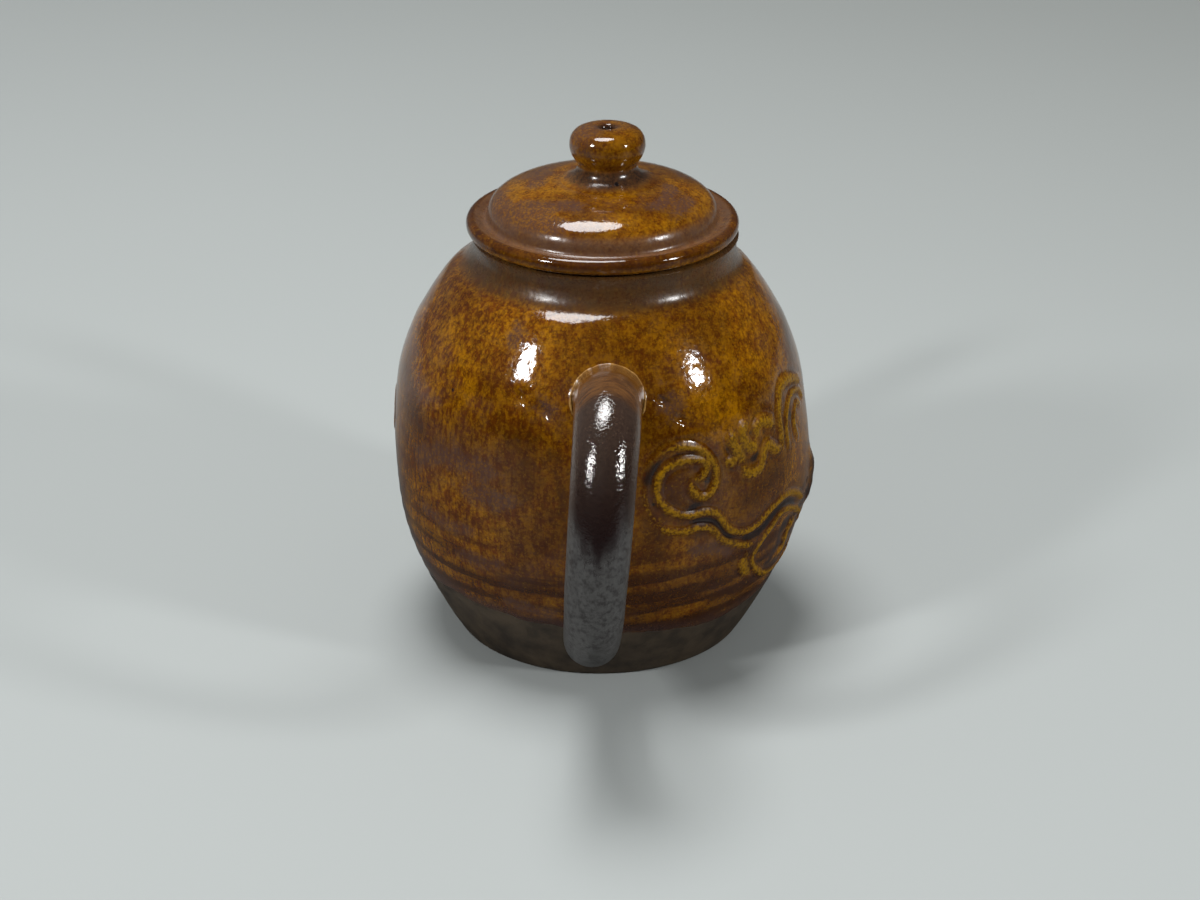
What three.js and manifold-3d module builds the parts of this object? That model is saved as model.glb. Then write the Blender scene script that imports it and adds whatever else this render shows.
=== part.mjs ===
// A back-handled teapot in glazed stoneware: a pot luted together from its floor, wall and
// shoulder, with a pierced strainer, a mouth collar, a curved spout, a pulled handle opposite the
// spout, a lift-off lid and trailed clay relief.
// Millimetres, +Z up. The origin is on the pot's axis where it stands on the table.
// The handle reaches towards -X and the spout towards +X.
import * as THREE from "three";
import { mergeVertices } from "three/addons/utils/BufferGeometryUtils.js";
import Module from "manifold-3d";

const wasm = await Module();
wasm.setup();

// Gap left between pieces that are luted or rest together.
const JOINT_GAP = 0.3;

// Pot wall: the outside radius at each throwing station, and the rise from the station below.
const FOOT_RADIUS = 30.3;
const FLARE_RADIUS = 36.4;
const FLARE_RISE = 12;
const HIP_RADIUS = 40.6;
const HIP_RISE = 12;
const BELLY_RADIUS = 42;
const BELLY_RISE = 16;
const UPPER_WALL_RADIUS = 40.4;
const UPPER_WALL_RISE = 17;
const SHOULDER_RADIUS = 35.4;
const SHOULDER_RISE = 12;
const NECK_RADIUS = 28.4;
const NECK_RISE = 9;
const WALL_THICKNESS = 3.6;
const FLOOR_THICKNESS = 5;

// Mouth collar, a ring luted on the neck that guides and carries the lid.
const MOUTH_RADIUS = 21.4;
const COLLAR_HEIGHT = 6;
const COLLAR_WAIST_RADIUS = 25.7;
const LIP_RADIUS = 26.5;

// Lid, a hollow dome standing in a dished brim.
const BRIM_RADIUS = 27.05;
const BRIM_THICKNESS = 3.1;
const MOAT_DEPTH = 0.7;
const MOAT_WIDTH = 2.4;
const DOME_RADIUS = 22.9;
const DOME_HEIGHT = 7.5;
const LID_THICKNESS = 3.4;
const LID_SHIFT = 0.5;
const FLANGE_RADIUS = 20.2;
const FLANGE_THICKNESS = 2.8;
const FLANGE_DEPTH = 7;

// Knob, with a vent hole bored down through it and the dome.
const KNOB_RADIUS = 7.5;
const KNOB_HEIGHT = 7.3;
const STEM_RADIUS = 5.9;
const STEM_FOOT_RADIUS = 7.6;
const STEM_HEIGHT = 3.1;
const KNOB_SHIFT = 0.95;
const VENT_RADIUS = 1.3;

// Handle, a tapering ear-shaped loop. It leaves the shoulder square to it, rises to a crest and
// comes back to the wall low down. The grip height is where it reaches out furthest.
const HANDLE_REACH = 84.6;
const HANDLE_TOP_HEIGHT = 64.4;
const HANDLE_CREST_RISE = 15;
const HANDLE_GRIP_HEIGHT = 51.6;
const HANDLE_FOOT_HEIGHT = 19.6;
const HANDLE_TOP_WIDTH = 13.4;
const HANDLE_FOOT_WIDTH = 9.4;
const HANDLE_TOP_THICKNESS = 12;
const HANDLE_FOOT_THICKNESS = 9.6;
const HANDLE_LEAN = 1.5;

// Spout, a curved tapering tube cut level at its tip.
const SPOUT_REACH = 64.8;
const SPOUT_ROOT_HEIGHT = 45;
const SPOUT_TIP_HEIGHT = 76.5;
const SPOUT_ROOT_DIAMETER = 20;
const SPOUT_TIP_DIAMETER = 12.2;
const SPOUT_ROOT_BORE = 14;
const SPOUT_TIP_BORE = 8.4;
const SPOUT_ROOT_BURY = 7;
const SPOUT_ROOT_DROP = 2.5;
const STRAINER_HOLE_RADIUS = 1.6;
const STRAINER_PITCH = 4.3;

// Relief, trailed in soft clay on the finished wall.
const RELIEF_TOP_HEIGHT = 58.6;
const TRAIL_WIDTH = 1.5;
const TRAIL_HEIGHT = 0.6;
const CREST_WIDTH = 7;
const CREST_HEIGHT = 2.2;

// How full the dome's shoulders are: 1 gives a plain ellipse and less a squarer one.
const DOME_FULLNESS = 0.76;

// How far a cutting tool runs past what it cuts.
const CUT_OVERRUN = 5;

// How finely the round shapes are cut.
const TURNED_SIDES = 48;
const KNOB_SIDES = 32;
const WALL_STEPS = 18;
const HANDLE_STEPS = 36;
const SPOUT_STEPS = 16;
const SECTION_SEGMENTS = 7;
const TRAIL_STEP = 2.8;

// Geometry to solid and back.
function solidOf(geometry) {
  const bare = geometry.index ? geometry.toNonIndexed() : geometry.clone();
  bare.deleteAttribute("normal");
  bare.deleteAttribute("uv");
  const merged = mergeVertices(bare, 1e-4);
  return new wasm.Manifold(
    new wasm.Mesh({
      numProp: 3,
      vertProperties: merged.attributes.position.array,
      triVerts: new Uint32Array(merged.index.array),
    }),
  );
}

function geometryOf(solid) {
  const mesh = solid.getMesh();
  const geometry = new THREE.BufferGeometry();
  geometry.setAttribute("position", new THREE.BufferAttribute(mesh.vertProperties, 3));
  geometry.setIndex(new THREE.BufferAttribute(mesh.triVerts, 1));
  geometry.computeVertexNormals();
  return geometry;
}

// Turns an outline of [radius, height] pairs about the Z axis. It runs up the outside.
function turned(outline, sides = TURNED_SIDES) {
  const points = outline.map(([radius, height]) => new THREE.Vector2(radius, height));
  return solidOf(new THREE.LatheGeometry(points, sides).rotateX(Math.PI / 2));
}

// The same for an outline that closes on itself instead of on the axis.
function turnedRing(outline, sides = TURNED_SIDES) {
  return turned([...outline, outline[0]], sides);
}

// Points of a smooth line through [radius, height] pairs.
function smoothLine(stations, steps) {
  const line = new THREE.SplineCurve(stations.map(([r, h]) => new THREE.Vector2(r, h)));
  return line.getPoints(steps).map((p) => [p.x, p.y]);
}

// A dome's line from its base up to its crown on the axis: an ellipse with fuller shoulders.
function domeLine(baseRadius, baseHeight, topHeight, steps) {
  const line = [];
  for (let i = 0; i <= steps; i++) {
    const angle = (i / steps) * (Math.PI / 2);
    const radius = baseRadius * Math.cos(angle) ** DOME_FULLNESS;
    const height = baseHeight + (topHeight - baseHeight) * Math.sin(angle) ** DOME_FULLNESS;
    line.push([radius, height]);
  }
  line.at(-1)[0] = 0;
  return line;
}

// Bends a straight bar of a unit section so that it follows placeAt(t), for t from 0 to 1.
// placeAt gives the centre, the side and up directions and the bar's width and height there.
function swept(section, steps, placeAt, curveSegments = SECTION_SEGMENTS) {
  const settings = { depth: 1, steps, bevelEnabled: false, curveSegments };
  const bar = new THREE.ExtrudeGeometry(section, settings);
  const position = bar.getAttribute("position");
  const point = new THREE.Vector3();
  for (let i = 0; i < position.count; i++) {
    const place = placeAt(position.getZ(i));
    point.copy(place.centre);
    point.addScaledVector(place.side, position.getX(i) * place.width);
    point.addScaledVector(place.up, position.getY(i) * place.height);
    position.setXYZ(i, point.x, point.y, point.z);
  }
  return solidOf(bar);
}

const roundSection = new THREE.Shape().absellipse(0, 0, 0.5, 0.5, 0, 2 * Math.PI);
const halfRoundSection = new THREE.Shape().absellipse(0, 0, 0.5, 1, 0, Math.PI);

// The pot's outside, from the foot up to the neck.
const stations = [
  [FOOT_RADIUS, 0],
  [FLARE_RADIUS, FLARE_RISE],
  [HIP_RADIUS, HIP_RISE],
  [BELLY_RADIUS, BELLY_RISE],
  [UPPER_WALL_RADIUS, UPPER_WALL_RISE],
  [SHOULDER_RADIUS, SHOULDER_RISE],
  [NECK_RADIUS, NECK_RISE],
];
for (let i = 1; i < stations.length; i++) stations[i][1] += stations[i - 1][1];
const shoulderSeam = stations.at(-3)[1];
const neckHeight = stations.at(-1)[1];
const wallLine = smoothLine(stations, WALL_STEPS);

function outerRadius(height) {
  const above = Math.max(1, wallLine.findIndex(([, h]) => h >= height));
  const [r0, h0] = wallLine[above - 1];
  const [r1, h1] = wallLine[above];
  return r0 + ((r1 - r0) * (height - h0)) / (h1 - h0);
}

// The pot's outside as a plain solid, grown by the joint gap, to trim what is luted on it.
function trimmingBody() {
  const grown = wallLine.map(([r, h]) => [r + JOINT_GAP, h]);
  return turned([[0, -1], [grown[0][0], -1], ...grown, [0, neckHeight]]);
}

// The outside of the wall between two heights.
function wallLineBetween(low, high) {
  const between = wallLine.filter(([, h]) => h > low && h < high);
  return [[outerRadius(low), low], ...between, [outerRadius(high), high]];
}

// A ring of the wall between two heights.
function wallRing(low, high) {
  const outside = wallLineBetween(low, high);
  const inside = outside.map(([r, h]) => [r - WALL_THICKNESS, h]).reverse();
  return turnedRing([...outside, ...inside]);
}

// The floor, a flat disc that the pot stands on.
function potFloor() {
  return turned([[0, 0], ...wallLineBetween(0, FLOOR_THICKNESS), [0, FLOOR_THICKNESS]]);
}

function bodyWall() {
  return wallRing(FLOOR_THICKNESS + JOINT_GAP, shoulderSeam).subtract(strainerHoles());
}

function shoulderWall() {
  return wallRing(shoulderSeam + JOINT_GAP, neckHeight);
}

// Seven holes pierced through the wall behind the spout.
function strainerHoles() {
  const bore = new THREE.CylinderGeometry(STRAINER_HOLE_RADIUS, STRAINER_HOLE_RADIUS, 4 * WALL_THICKNESS, 10);
  bore.rotateZ(Math.PI / 2).translate(outerRadius(SPOUT_ROOT_HEIGHT), 0, SPOUT_ROOT_HEIGHT);
  let holes = solidOf(bore);
  for (let i = 0; i < 6; i++) {
    const angle = (i * Math.PI) / 3;
    const y = STRAINER_PITCH * Math.cos(angle);
    const z = STRAINER_PITCH * Math.sin(angle);
    holes = holes.add(solidOf(bore.clone().translate(0, y, z)));
  }
  return holes;
}

const collarFoot = neckHeight + JOINT_GAP;
const lipHeight = collarFoot + COLLAR_HEIGHT;

function mouthCollar() {
  const throat = smoothLine(
    [
      [NECK_RADIUS - JOINT_GAP, collarFoot],
      [COLLAR_WAIST_RADIUS, collarFoot + 0.55 * COLLAR_HEIGHT],
      [LIP_RADIUS, lipHeight - 0.8],
      [LIP_RADIUS - 0.8, lipHeight],
    ],
    7,
  );
  return turnedRing([[MOUTH_RADIUS, collarFoot], ...throat, [MOUTH_RADIUS, lipHeight]]);
}

// Heights in the lid, worked up from the lip that it rests on.
const brimFoot = lipHeight + JOINT_GAP;
const brimTop = brimFoot + BRIM_THICKNESS;
const domeTop = brimTop + DOME_HEIGHT;
const knobFoot = domeTop + JOINT_GAP;
const ballFoot = knobFoot + STEM_HEIGHT;
const knobTop = ballFoot + KNOB_HEIGHT;

function ventBore() {
  const length = knobTop - brimFoot + CUT_OVERRUN;
  const bore = new THREE.CylinderGeometry(VENT_RADIUS, VENT_RADIUS, length, 12).rotateX(Math.PI / 2);
  return solidOf(bore.translate(0, -KNOB_SHIFT, brimFoot + length / 2));
}

function lidCover() {
  const edge = BRIM_THICKNESS / 2;
  const brimEdge = [];
  for (let i = -2; i <= 2; i++) {
    const angle = (i / 2) * 0.42 * Math.PI;
    brimEdge.push([BRIM_RADIUS - edge * (1 - Math.cos(angle)), brimFoot + edge * (1 + Math.sin(angle))]);
  }
  const moatFloor = brimTop - MOAT_DEPTH;
  const hollowRadius = FLANGE_RADIUS - FLANGE_THICKNESS;
  const outline = [
    [hollowRadius, brimFoot],
    ...brimEdge,
    [DOME_RADIUS + MOAT_WIDTH, moatFloor + MOAT_DEPTH / 2],
    [DOME_RADIUS + MOAT_WIDTH / 3, moatFloor],
    ...domeLine(DOME_RADIUS, moatFloor + MOAT_DEPTH / 2, domeTop, 9),
    ...domeLine(hollowRadius, moatFloor, domeTop - LID_THICKNESS, 6).reverse(),
  ];
  return turnedRing(outline).subtract(ventBore());
}

function lidFlange() {
  const inside = FLANGE_RADIUS - FLANGE_THICKNESS;
  const top = brimFoot - JOINT_GAP;
  const foot = top - FLANGE_DEPTH;
  const chamfer = FLANGE_THICKNESS / 4;
  return turnedRing([
    [inside + chamfer, foot],
    [FLANGE_RADIUS - chamfer, foot],
    [FLANGE_RADIUS, foot + chamfer],
    [FLANGE_RADIUS, top],
    [inside, top],
    [inside, foot + chamfer],
  ]);
}

function knob() {
  const ball = [];
  const middle = ballFoot + KNOB_HEIGHT / 2;
  const start = -Math.acos(STEM_RADIUS / KNOB_RADIUS);
  const steps = 9;
  for (let i = 0; i <= steps; i++) {
    const angle = start + (i / steps) * (Math.PI / 2 - start);
    ball.push([KNOB_RADIUS * Math.cos(angle), middle + (KNOB_HEIGHT / 2) * Math.sin(angle)]);
  }
  const stem = smoothLine(
    [
      [STEM_FOOT_RADIUS, knobFoot],
      [STEM_RADIUS + 0.3, knobFoot + 0.4 * STEM_HEIGHT],
      [STEM_RADIUS, ballFoot],
    ],
    4,
  );
  const outline = [[0, knobFoot], ...stem, ...ball];
  outline.at(-1)[0] = 0;
  const turnedKnob = turned(outline, KNOB_SIDES).translate([0, -KNOB_SHIFT, 0]);
  return turnedKnob.subtract(ventBore());
}

// A place along a path that lies nearly in the XZ plane.
function placeOnPath(path, t, width, height) {
  const tangent = path.getTangentAt(t);
  const across = new THREE.Vector3(0, 1, 0);
  const up = tangent.clone().cross(across).normalize();
  return { centre: path.getPointAt(t), side: up.clone().cross(tangent).normalize(), up, width, height };
}

// The handle's middle line, from inside the wall at its top root to inside the wall at its foot.
function handlePath() {
  const middle = HANDLE_REACH - (HANDLE_TOP_THICKNESS + HANDLE_FOOT_THICKNESS) / 4;
  const crest = HANDLE_TOP_HEIGHT + HANDLE_CREST_RISE - HANDLE_TOP_THICKNESS / 2;
  const topRadius = outerRadius(HANDLE_TOP_HEIGHT);
  const footRadius = outerRadius(HANDLE_FOOT_HEIGHT);

  // Points of a stretch between two heights. Each is given as shares: of the way out from the
  // root's radius to the grip's, of the way between the heights, and of the lean.
  const stretch = (rootRadius, from, to, shares) =>
    shares.map(([out, along, lean]) => {
      const radius = THREE.MathUtils.lerp(rootRadius, middle, out);
      return new THREE.Vector3(-radius, lean * HANDLE_LEAN, THREE.MathUtils.lerp(from, to, along));
    });

  const climb = [[-0.11, -0.19, -1], [0.35, 0.63, -1], [0.6, 1, -0.95]];
  const turnDown = [[0.77, 0.11, -0.75], [0.875, 0.31, -0.5], [0.957, 0.59, -0.2], [1, 1, 0.25]];
  const turnBack = [[0.907, 0.44, 0.75], [0.63, 0.76, 1], [-0.1, 1.04, 1]];
  return new THREE.CatmullRomCurve3([
    ...stretch(topRadius, HANDLE_TOP_HEIGHT, crest, climb),
    ...stretch(topRadius, crest, HANDLE_GRIP_HEIGHT, turnDown),
    ...stretch(footRadius, HANDLE_GRIP_HEIGHT, HANDLE_FOOT_HEIGHT, turnBack),
  ]);
}

function handle() {
  const path = handlePath();
  const bar = swept(roundSection, HANDLE_STEPS, (t) => {
    const width = THREE.MathUtils.lerp(HANDLE_TOP_WIDTH, HANDLE_FOOT_WIDTH, t);
    const thickness = THREE.MathUtils.lerp(HANDLE_TOP_THICKNESS, HANDLE_FOOT_THICKNESS, t);
    return placeOnPath(path, t, width, thickness);
  });
  return bar.subtract(trimmingBody());
}

function spout() {
  const tipX = SPOUT_REACH - SPOUT_TIP_DIAMETER / 2;
  const rootX = outerRadius(SPOUT_ROOT_HEIGHT);
  const rise = SPOUT_TIP_HEIGHT - SPOUT_ROOT_HEIGHT;
  const run = tipX - rootX;
  const path = new THREE.CatmullRomCurve3([
    new THREE.Vector3(rootX - SPOUT_ROOT_BURY, 0, SPOUT_ROOT_HEIGHT - SPOUT_ROOT_DROP),
    new THREE.Vector3(rootX + 0.25 * run, 0, SPOUT_ROOT_HEIGHT + 0.08 * rise),
    new THREE.Vector3(rootX + 0.66 * run, 0, SPOUT_ROOT_HEIGHT + 0.4 * rise),
    new THREE.Vector3(rootX + 0.86 * run, 0, SPOUT_ROOT_HEIGHT + 0.72 * rise),
    new THREE.Vector3(tipX, 0, SPOUT_TIP_HEIGHT),
    new THREE.Vector3(tipX + 0.3 * CUT_OVERRUN, 0, SPOUT_TIP_HEIGHT + CUT_OVERRUN),
  ]);
  const tube = (root, tip) =>
    swept(roundSection, SPOUT_STEPS, (t) => {
      const diameter = tip + (root - tip) * (1 - t) ** 1.4;
      return placeOnPath(path, t, diameter, diameter);
    });
  const block = 3 * SPOUT_ROOT_DIAMETER;
  const above = new THREE.BoxGeometry(block, block, block).translate(tipX, 0, SPOUT_TIP_HEIGHT + block / 2);
  return tube(SPOUT_ROOT_DIAMETER, SPOUT_TIP_DIAMETER)
    .subtract(tube(SPOUT_ROOT_BORE, SPOUT_TIP_BORE))
    .subtract(trimmingBody())
    .subtract(solidOf(above));
}

// The relief's lines, as [azimuth, height] pairs. The azimuth is in degrees round the pot from
// the handle, positive towards -Y. The heights are to one scale, set by RELIEF_TOP_HEIGHT.
const CLOUD_LINES = {
  outer_wave: [
    [24.5, 47.2], [25.2, 45.1], [27.4, 43.5], [30, 43.6], [32.2, 45.8], [32, 48.8], [30.2, 51.4],
    [27, 53.4], [22.6, 54.4], [17.6, 54], [14, 51.6], [12.2, 48], [12.1, 44], [14, 40.2], [18.2, 37.5],
    [22.4, 36.7], [26.4, 36.9], [29.8, 36.4], [32.4, 35], [34.6, 32.9], [38, 31.4], [42.4, 29.8], [47, 28.5],
  ],
  inner_wave: [
    [26, 47.2], [28.4, 47.9], [29.7, 49.4], [28.6, 50.8], [25, 51.5], [20.6, 51.4], [17, 50],
    [15.2, 47.4], [15.5, 44.6], [17.6, 42.4], [21, 40.7], [25, 39.9], [28.6, 40], [31.6, 39.4],
    [34.2, 37.4], [36, 35.3], [38.8, 33.7], [43, 32.6], [47.4, 32.8], [52, 33.9], [57, 34.8],
    [62, 35.1], [67, 34.3], [73, 32], [79, 29.2],
  ],
  lower_whorl: [
    [80.4, 23.6], [77.6, 26.4], [72.4, 28.7], [66.4, 31], [60.6, 31.7], [55.6, 30.3], [51, 28.3],
    [48.1, 26.2], [48, 24.2], [51, 21.5], [56, 19], [62.4, 17.4], [69, 16.8], [75, 17.8], [79, 20.2],
  ],
  whorl_leaf: [[72.4, 26.6], [68.6, 25.8], [66.8, 24.1], [67, 22.2], [64.4, 20.6]],
  whorl_tongue: [[44.4, 27], [43.7, 25.3], [45, 23.4], [48, 21.6]],
  upper_whorl: [
    [79, 55.2], [74.6, 56.8], [70, 58], [65.6, 58.6], [61.8, 57.8], [59.6, 55.2], [59, 51.6],
    [60.2, 46.4],
  ],
  upper_whorl_middle: [
    [80, 51.2], [76, 53.9], [71.4, 55.3], [66.8, 54.9], [63.8, 52.8], [62.7, 49.4], [63.8, 45.2],
  ],
  upper_whorl_eye: [[75.6, 51.2], [72, 52.5], [69.3, 51.2], [68.6, 48.4], [71, 45.4]],
  flame_low: [[37.7, 55], [38.3, 53.3], [39.3, 51.6], [40.4, 49.9], [42, 48.3]],
  flame_low_heel: [[35.8, 49.9], [37.4, 49.1], [39.6, 48.8]],
  flame_middle: [[44, 56], [42.4, 54.6], [42.2, 52.8], [43.6, 51.3], [45.8, 50.4], [47.7, 50.7]],
  flame_high: [[48.2, 51.8], [47.5, 53.4], [49.2, 54.4], [52, 54], [55.6, 52.7]],
  flame_base: [
    [41.3, 46.8], [43.2, 45.4], [46, 44.9], [48.5, 45.4], [49.8, 47.2], [50.7, 48.7], [52.2, 49.2],
    [54.2, 48.1], [56.6, 47], [59, 46.6],
  ],
};
const CREST_LINE = [[86.6, 37], [88.6, 34], [89, 30.6], [87.8, 27.2], [85.8, 25]];
const TAIL_LINE = [
  [-97, 40.4], [-90, 41.2], [-85.6, 44], [-85.4, 47.4], [-89, 50], [-93.6, 49.6], [-94.4, 46.6],
];

// The front half of the band repeats the rear half, reflected about this azimuth.
const REPEAT_AZIMUTH = 88;

const drawnTop = Math.max(...CLOUD_LINES.upper_whorl.map(([, height]) => height));

function pointOnWall(azimuth, height, lift) {
  const angle = THREE.MathUtils.degToRad(azimuth);
  const radius = outerRadius(height) + lift;
  return new THREE.Vector3(-radius * Math.cos(angle), -radius * Math.sin(angle), height);
}

// A half-round trail of clay laid on the wall along a line, rounded off at both ends.
function trail(drawnLine, width, height) {
  const line = drawnLine.map(([azimuth, drawn]) => [azimuth, (drawn * RELIEF_TOP_HEIGHT) / drawnTop]);
  const curve = new THREE.SplineCurve(line.map(([azimuth, z]) => new THREE.Vector2(azimuth, z)));
  const wallPoint = (t, lift = 0) => {
    const place = curve.getPointAt(THREE.MathUtils.clamp(t, 0, 1));
    return pointOnWall(place.x, place.y, lift);
  };
  const wallPath = new THREE.CatmullRomCurve3(line.map(([azimuth, z]) => pointOnWall(azimuth, z, 0)));
  const length = wallPath.getLength();
  const steps = Math.max(4, Math.round(length / TRAIL_STEP));
  return swept(
    halfRoundSection,
    steps,
    (t) => {
      const base = wallPoint(t);
      const near = 0.5 / steps;
      const tangent = wallPoint(t + near).sub(wallPoint(t - near)).normalize();
      const slope = (outerRadius(base.z + 1) - outerRadius(base.z - 1)) / 2;
      const up = new THREE.Vector3(base.x, base.y, 0).normalize();
      up.z = -slope;
      up.addScaledVector(tangent, -up.dot(tangent)).normalize();
      const side = up.clone().cross(tangent);
      const fromEnd = Math.min(t, 1 - t) * length;
      const taper = Math.min(1, 0.4 + (0.6 * fromEnd) / width);
      return {
        centre: base.addScaledVector(up, JOINT_GAP),
        side,
        up,
        width: width * taper,
        height: height * taper,
      };
    },
    2,
  );
}

// Colours and finishes of the fired clay and glaze.
const glaze = new THREE.MeshStandardMaterial({ color: 0x7a4310, roughness: 0.22, metalness: 0 });
const darkGlaze = new THREE.MeshStandardMaterial({ color: 0x3a2f2b, roughness: 0.25, metalness: 0 });
const reliefGlaze = new THREE.MeshStandardMaterial({ color: 0x8a5a14, roughness: 0.25, metalness: 0 });

function piece(name, solid, material) {
  const mesh = new THREE.Mesh(geometryOf(solid), material);
  mesh.name = name;
  return mesh;
}

const pot = new THREE.Group();
pot.add(piece("pot_floor", potFloor(), glaze));
pot.add(piece("body_wall", bodyWall(), glaze));
pot.add(piece("shoulder_wall", shoulderWall(), glaze));
pot.add(piece("mouth_collar", mouthCollar(), glaze));
pot.add(piece("spout", spout(), glaze));
pot.add(piece("handle", handle(), darkGlaze));

const relief = new THREE.Group();
for (const [name, line] of Object.entries(CLOUD_LINES)) {
  const front = line.map(([azimuth, height]) => [2 * REPEAT_AZIMUTH - azimuth, height]);
  const far = front.map(([azimuth, height]) => [-azimuth, height]);
  relief.add(piece("relief_rear_" + name, trail(line, TRAIL_WIDTH, TRAIL_HEIGHT), reliefGlaze));
  relief.add(piece("relief_front_" + name, trail(front, TRAIL_WIDTH, TRAIL_HEIGHT), reliefGlaze));
  relief.add(piece("relief_far_" + name, trail(far, TRAIL_WIDTH, TRAIL_HEIGHT), reliefGlaze));
}
relief.add(piece("relief_wave_crest", trail(CREST_LINE, CREST_WIDTH, CREST_HEIGHT), reliefGlaze));
relief.add(piece("relief_far_tail", trail(TAIL_LINE, TRAIL_WIDTH, TRAIL_HEIGHT), reliefGlaze));

const lid = new THREE.Group();
lid.position.y = -LID_SHIFT;
lid.add(piece("lid_cover", lidCover(), glaze));
lid.add(piece("lid_flange", lidFlange(), glaze));
lid.add(piece("lid_knob", knob(), glaze));

const teapot = new THREE.Group();
teapot.add(pot, relief, lid);

export default teapot;
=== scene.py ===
"""Dresses a small back-handled stoneware teapot in a runny amber glaze.

Everything is in metres in the part's frame: the pot's axis is Z, it stands at Z = 0, the handle
reaches towards -X and the spout towards +X. Sizes are given in millimetres and scaled by MM.
A place on the wall is an (azimuth, height) pair: degrees round the pot from the handle, positive
towards -Y, and millimetres above the table. A stroke is a line of such places with a half width.
"""

import logging
import math
from collections.abc import Callable, Sequence
from dataclasses import dataclass, field
from enum import Enum

import bmesh
import bpy
import numpy as np
from bmesh.types import BMesh, BMVert
from bpy.types import ID, Material, Node, NodeSocket, NodeTree, Object, bpy_prop_collection
from mathutils import Matrix, Vector


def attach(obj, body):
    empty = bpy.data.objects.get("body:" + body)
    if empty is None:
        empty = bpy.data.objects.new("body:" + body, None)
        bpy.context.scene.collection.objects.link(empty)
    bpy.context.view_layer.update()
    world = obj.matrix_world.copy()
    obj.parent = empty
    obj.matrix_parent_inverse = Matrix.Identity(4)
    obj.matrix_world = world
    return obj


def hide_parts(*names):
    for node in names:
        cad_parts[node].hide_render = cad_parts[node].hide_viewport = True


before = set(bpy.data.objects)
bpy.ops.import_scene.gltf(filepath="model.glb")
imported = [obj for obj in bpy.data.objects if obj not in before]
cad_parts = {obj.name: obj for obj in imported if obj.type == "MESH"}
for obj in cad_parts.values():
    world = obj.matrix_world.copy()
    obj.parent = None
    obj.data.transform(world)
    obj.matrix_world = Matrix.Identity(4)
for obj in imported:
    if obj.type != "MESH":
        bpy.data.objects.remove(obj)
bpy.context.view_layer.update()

MM = 0.001
MAP_RADIUS = 42.0
DOME_MAP_RADIUS = 16.0
MAP_SPACING = 0.2
REPEAT_AZIMUTH = 88
GLAZED_ABOVE = 30 * MM
WELD_GAP = 1e-6
log = logging.getLogger("teapot")

Number = float | np.ndarray
Line = Sequence[tuple[float, ...]]
Profile = Callable[[float], float]
Value = NodeSocket | float
Colour = NodeSocket | tuple[float, ...]


class Slot(Enum):
    """The record's material slots that the pieces use."""

    POT = "pot_glaze"
    HANDLE = "handle_glaze"
    LID = "lid_glaze"
    CLAY = "bare_clay"


class Body(Enum):
    """The rigid bodies of the part."""

    POT = "pot"
    LID = "lid"


def smooth_line(stations: Line, spacing: float) -> np.ndarray:
    """Lays an even Catmull-Rom line through some stations.

    Args:
        stations: the points to pass through.
        spacing: the wanted distance between neighbouring points of the line.

    Returns:
        The line's points, one to a row.
    """
    knots = np.asarray(stations, float)
    padded = np.vstack([2 * knots[0] - knots[1], knots, 2 * knots[-1] - knots[-2]])
    t = np.linspace(0, 1, 40, endpoint=False)[:, None]
    fine = [
        b + 0.5 * t * (c - a) + t**2 * (a - 2.5 * b + 2 * c - 0.5 * d)
        + t**3 * (1.5 * (b - c) + 0.5 * (d - a))
        for a, b, c, d in zip(padded, padded[1:], padded[2:], padded[3:])
    ]
    dense = np.vstack(fine + [knots[-1:]])
    run = np.concatenate([[0], np.cumsum(np.linalg.norm(np.diff(dense, axis=0), axis=1))])
    places = np.linspace(0, run[-1], max(2, round(run[-1] / spacing) + 1))
    return np.stack([np.interp(places, run, column) for column in dense.T], axis=1)


def ease(low: float, high: float, value: Number) -> Number:
    """Rises smoothly from 0 at low to 1 at high, for a number or an array."""
    share = np.clip((value - low) / (high - low), 0, 1)
    return share * share * (3 - 2 * share)


def hump(distance: Number, reach: Number) -> Number:
    """Falls smoothly from 1 at a distance of 0 towards 0 past reach."""
    return np.exp(-((distance / reach) ** 2))


@dataclass
class Roll:
    """A line with a width on a flat map in millimetres: a roll of clay or a stroke of glaze."""

    line: np.ndarray
    half_width: float
    strength: float = 1.0
    run_out: float = 2.4

    def nearest(self, places: np.ndarray, reach: float) -> tuple[np.ndarray, np.ndarray, np.ndarray]:
        """Finds the places of a flat map that lie near the line.

        Args:
            places: the map's places, one to a row.
            reach: how far from the line's box a place may lie.

        Returns:
            The indices of those places, their distances from the line, and how full the roll
            is beside them, from 0 at its tips to 1.
        """
        low = self.line.min(axis=0) - reach
        high = self.line.max(axis=0) + reach
        inside = np.nonzero(((places > low) & (places < high)).all(axis=1))[0]
        gaps = np.linalg.norm(places[inside, None] - self.line[None], axis=2)
        closest = gaps.argmin(axis=1)
        from_tip = np.minimum(closest, len(self.line) - 1 - closest) * MAP_SPACING
        full = ease(-0.6 * self.run_out, self.run_out, from_tip)
        return inside, gaps[np.arange(len(inside)), closest], full


def painted(places: np.ndarray, strokes: list[Roll]) -> np.ndarray:
    """Gives how strongly some strokes cover each place of a flat map.

    Args:
        places: the map's places, one to a row.
        strokes: the strokes laid on the map.

    Returns:
        The cover at each place, from 0 up to the strength of the strokes.
    """
    cover = np.zeros(len(places))
    for stroke in strokes:
        inside, distance, full = stroke.nearest(places, 3 * stroke.half_width)
        mark = stroke.strength * full * hump(distance, stroke.half_width)
        cover[inside] = np.maximum(cover[inside], mark)
    return cover


def flat_line(line: Line, radius: float = MAP_RADIUS) -> np.ndarray:
    """Lays a line of (azimuth, height) or (azimuth, radius) pairs on a flat map."""
    return smooth_line([(math.radians(azimuth) * radius, other) for azimuth, other in line], MAP_SPACING)


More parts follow.
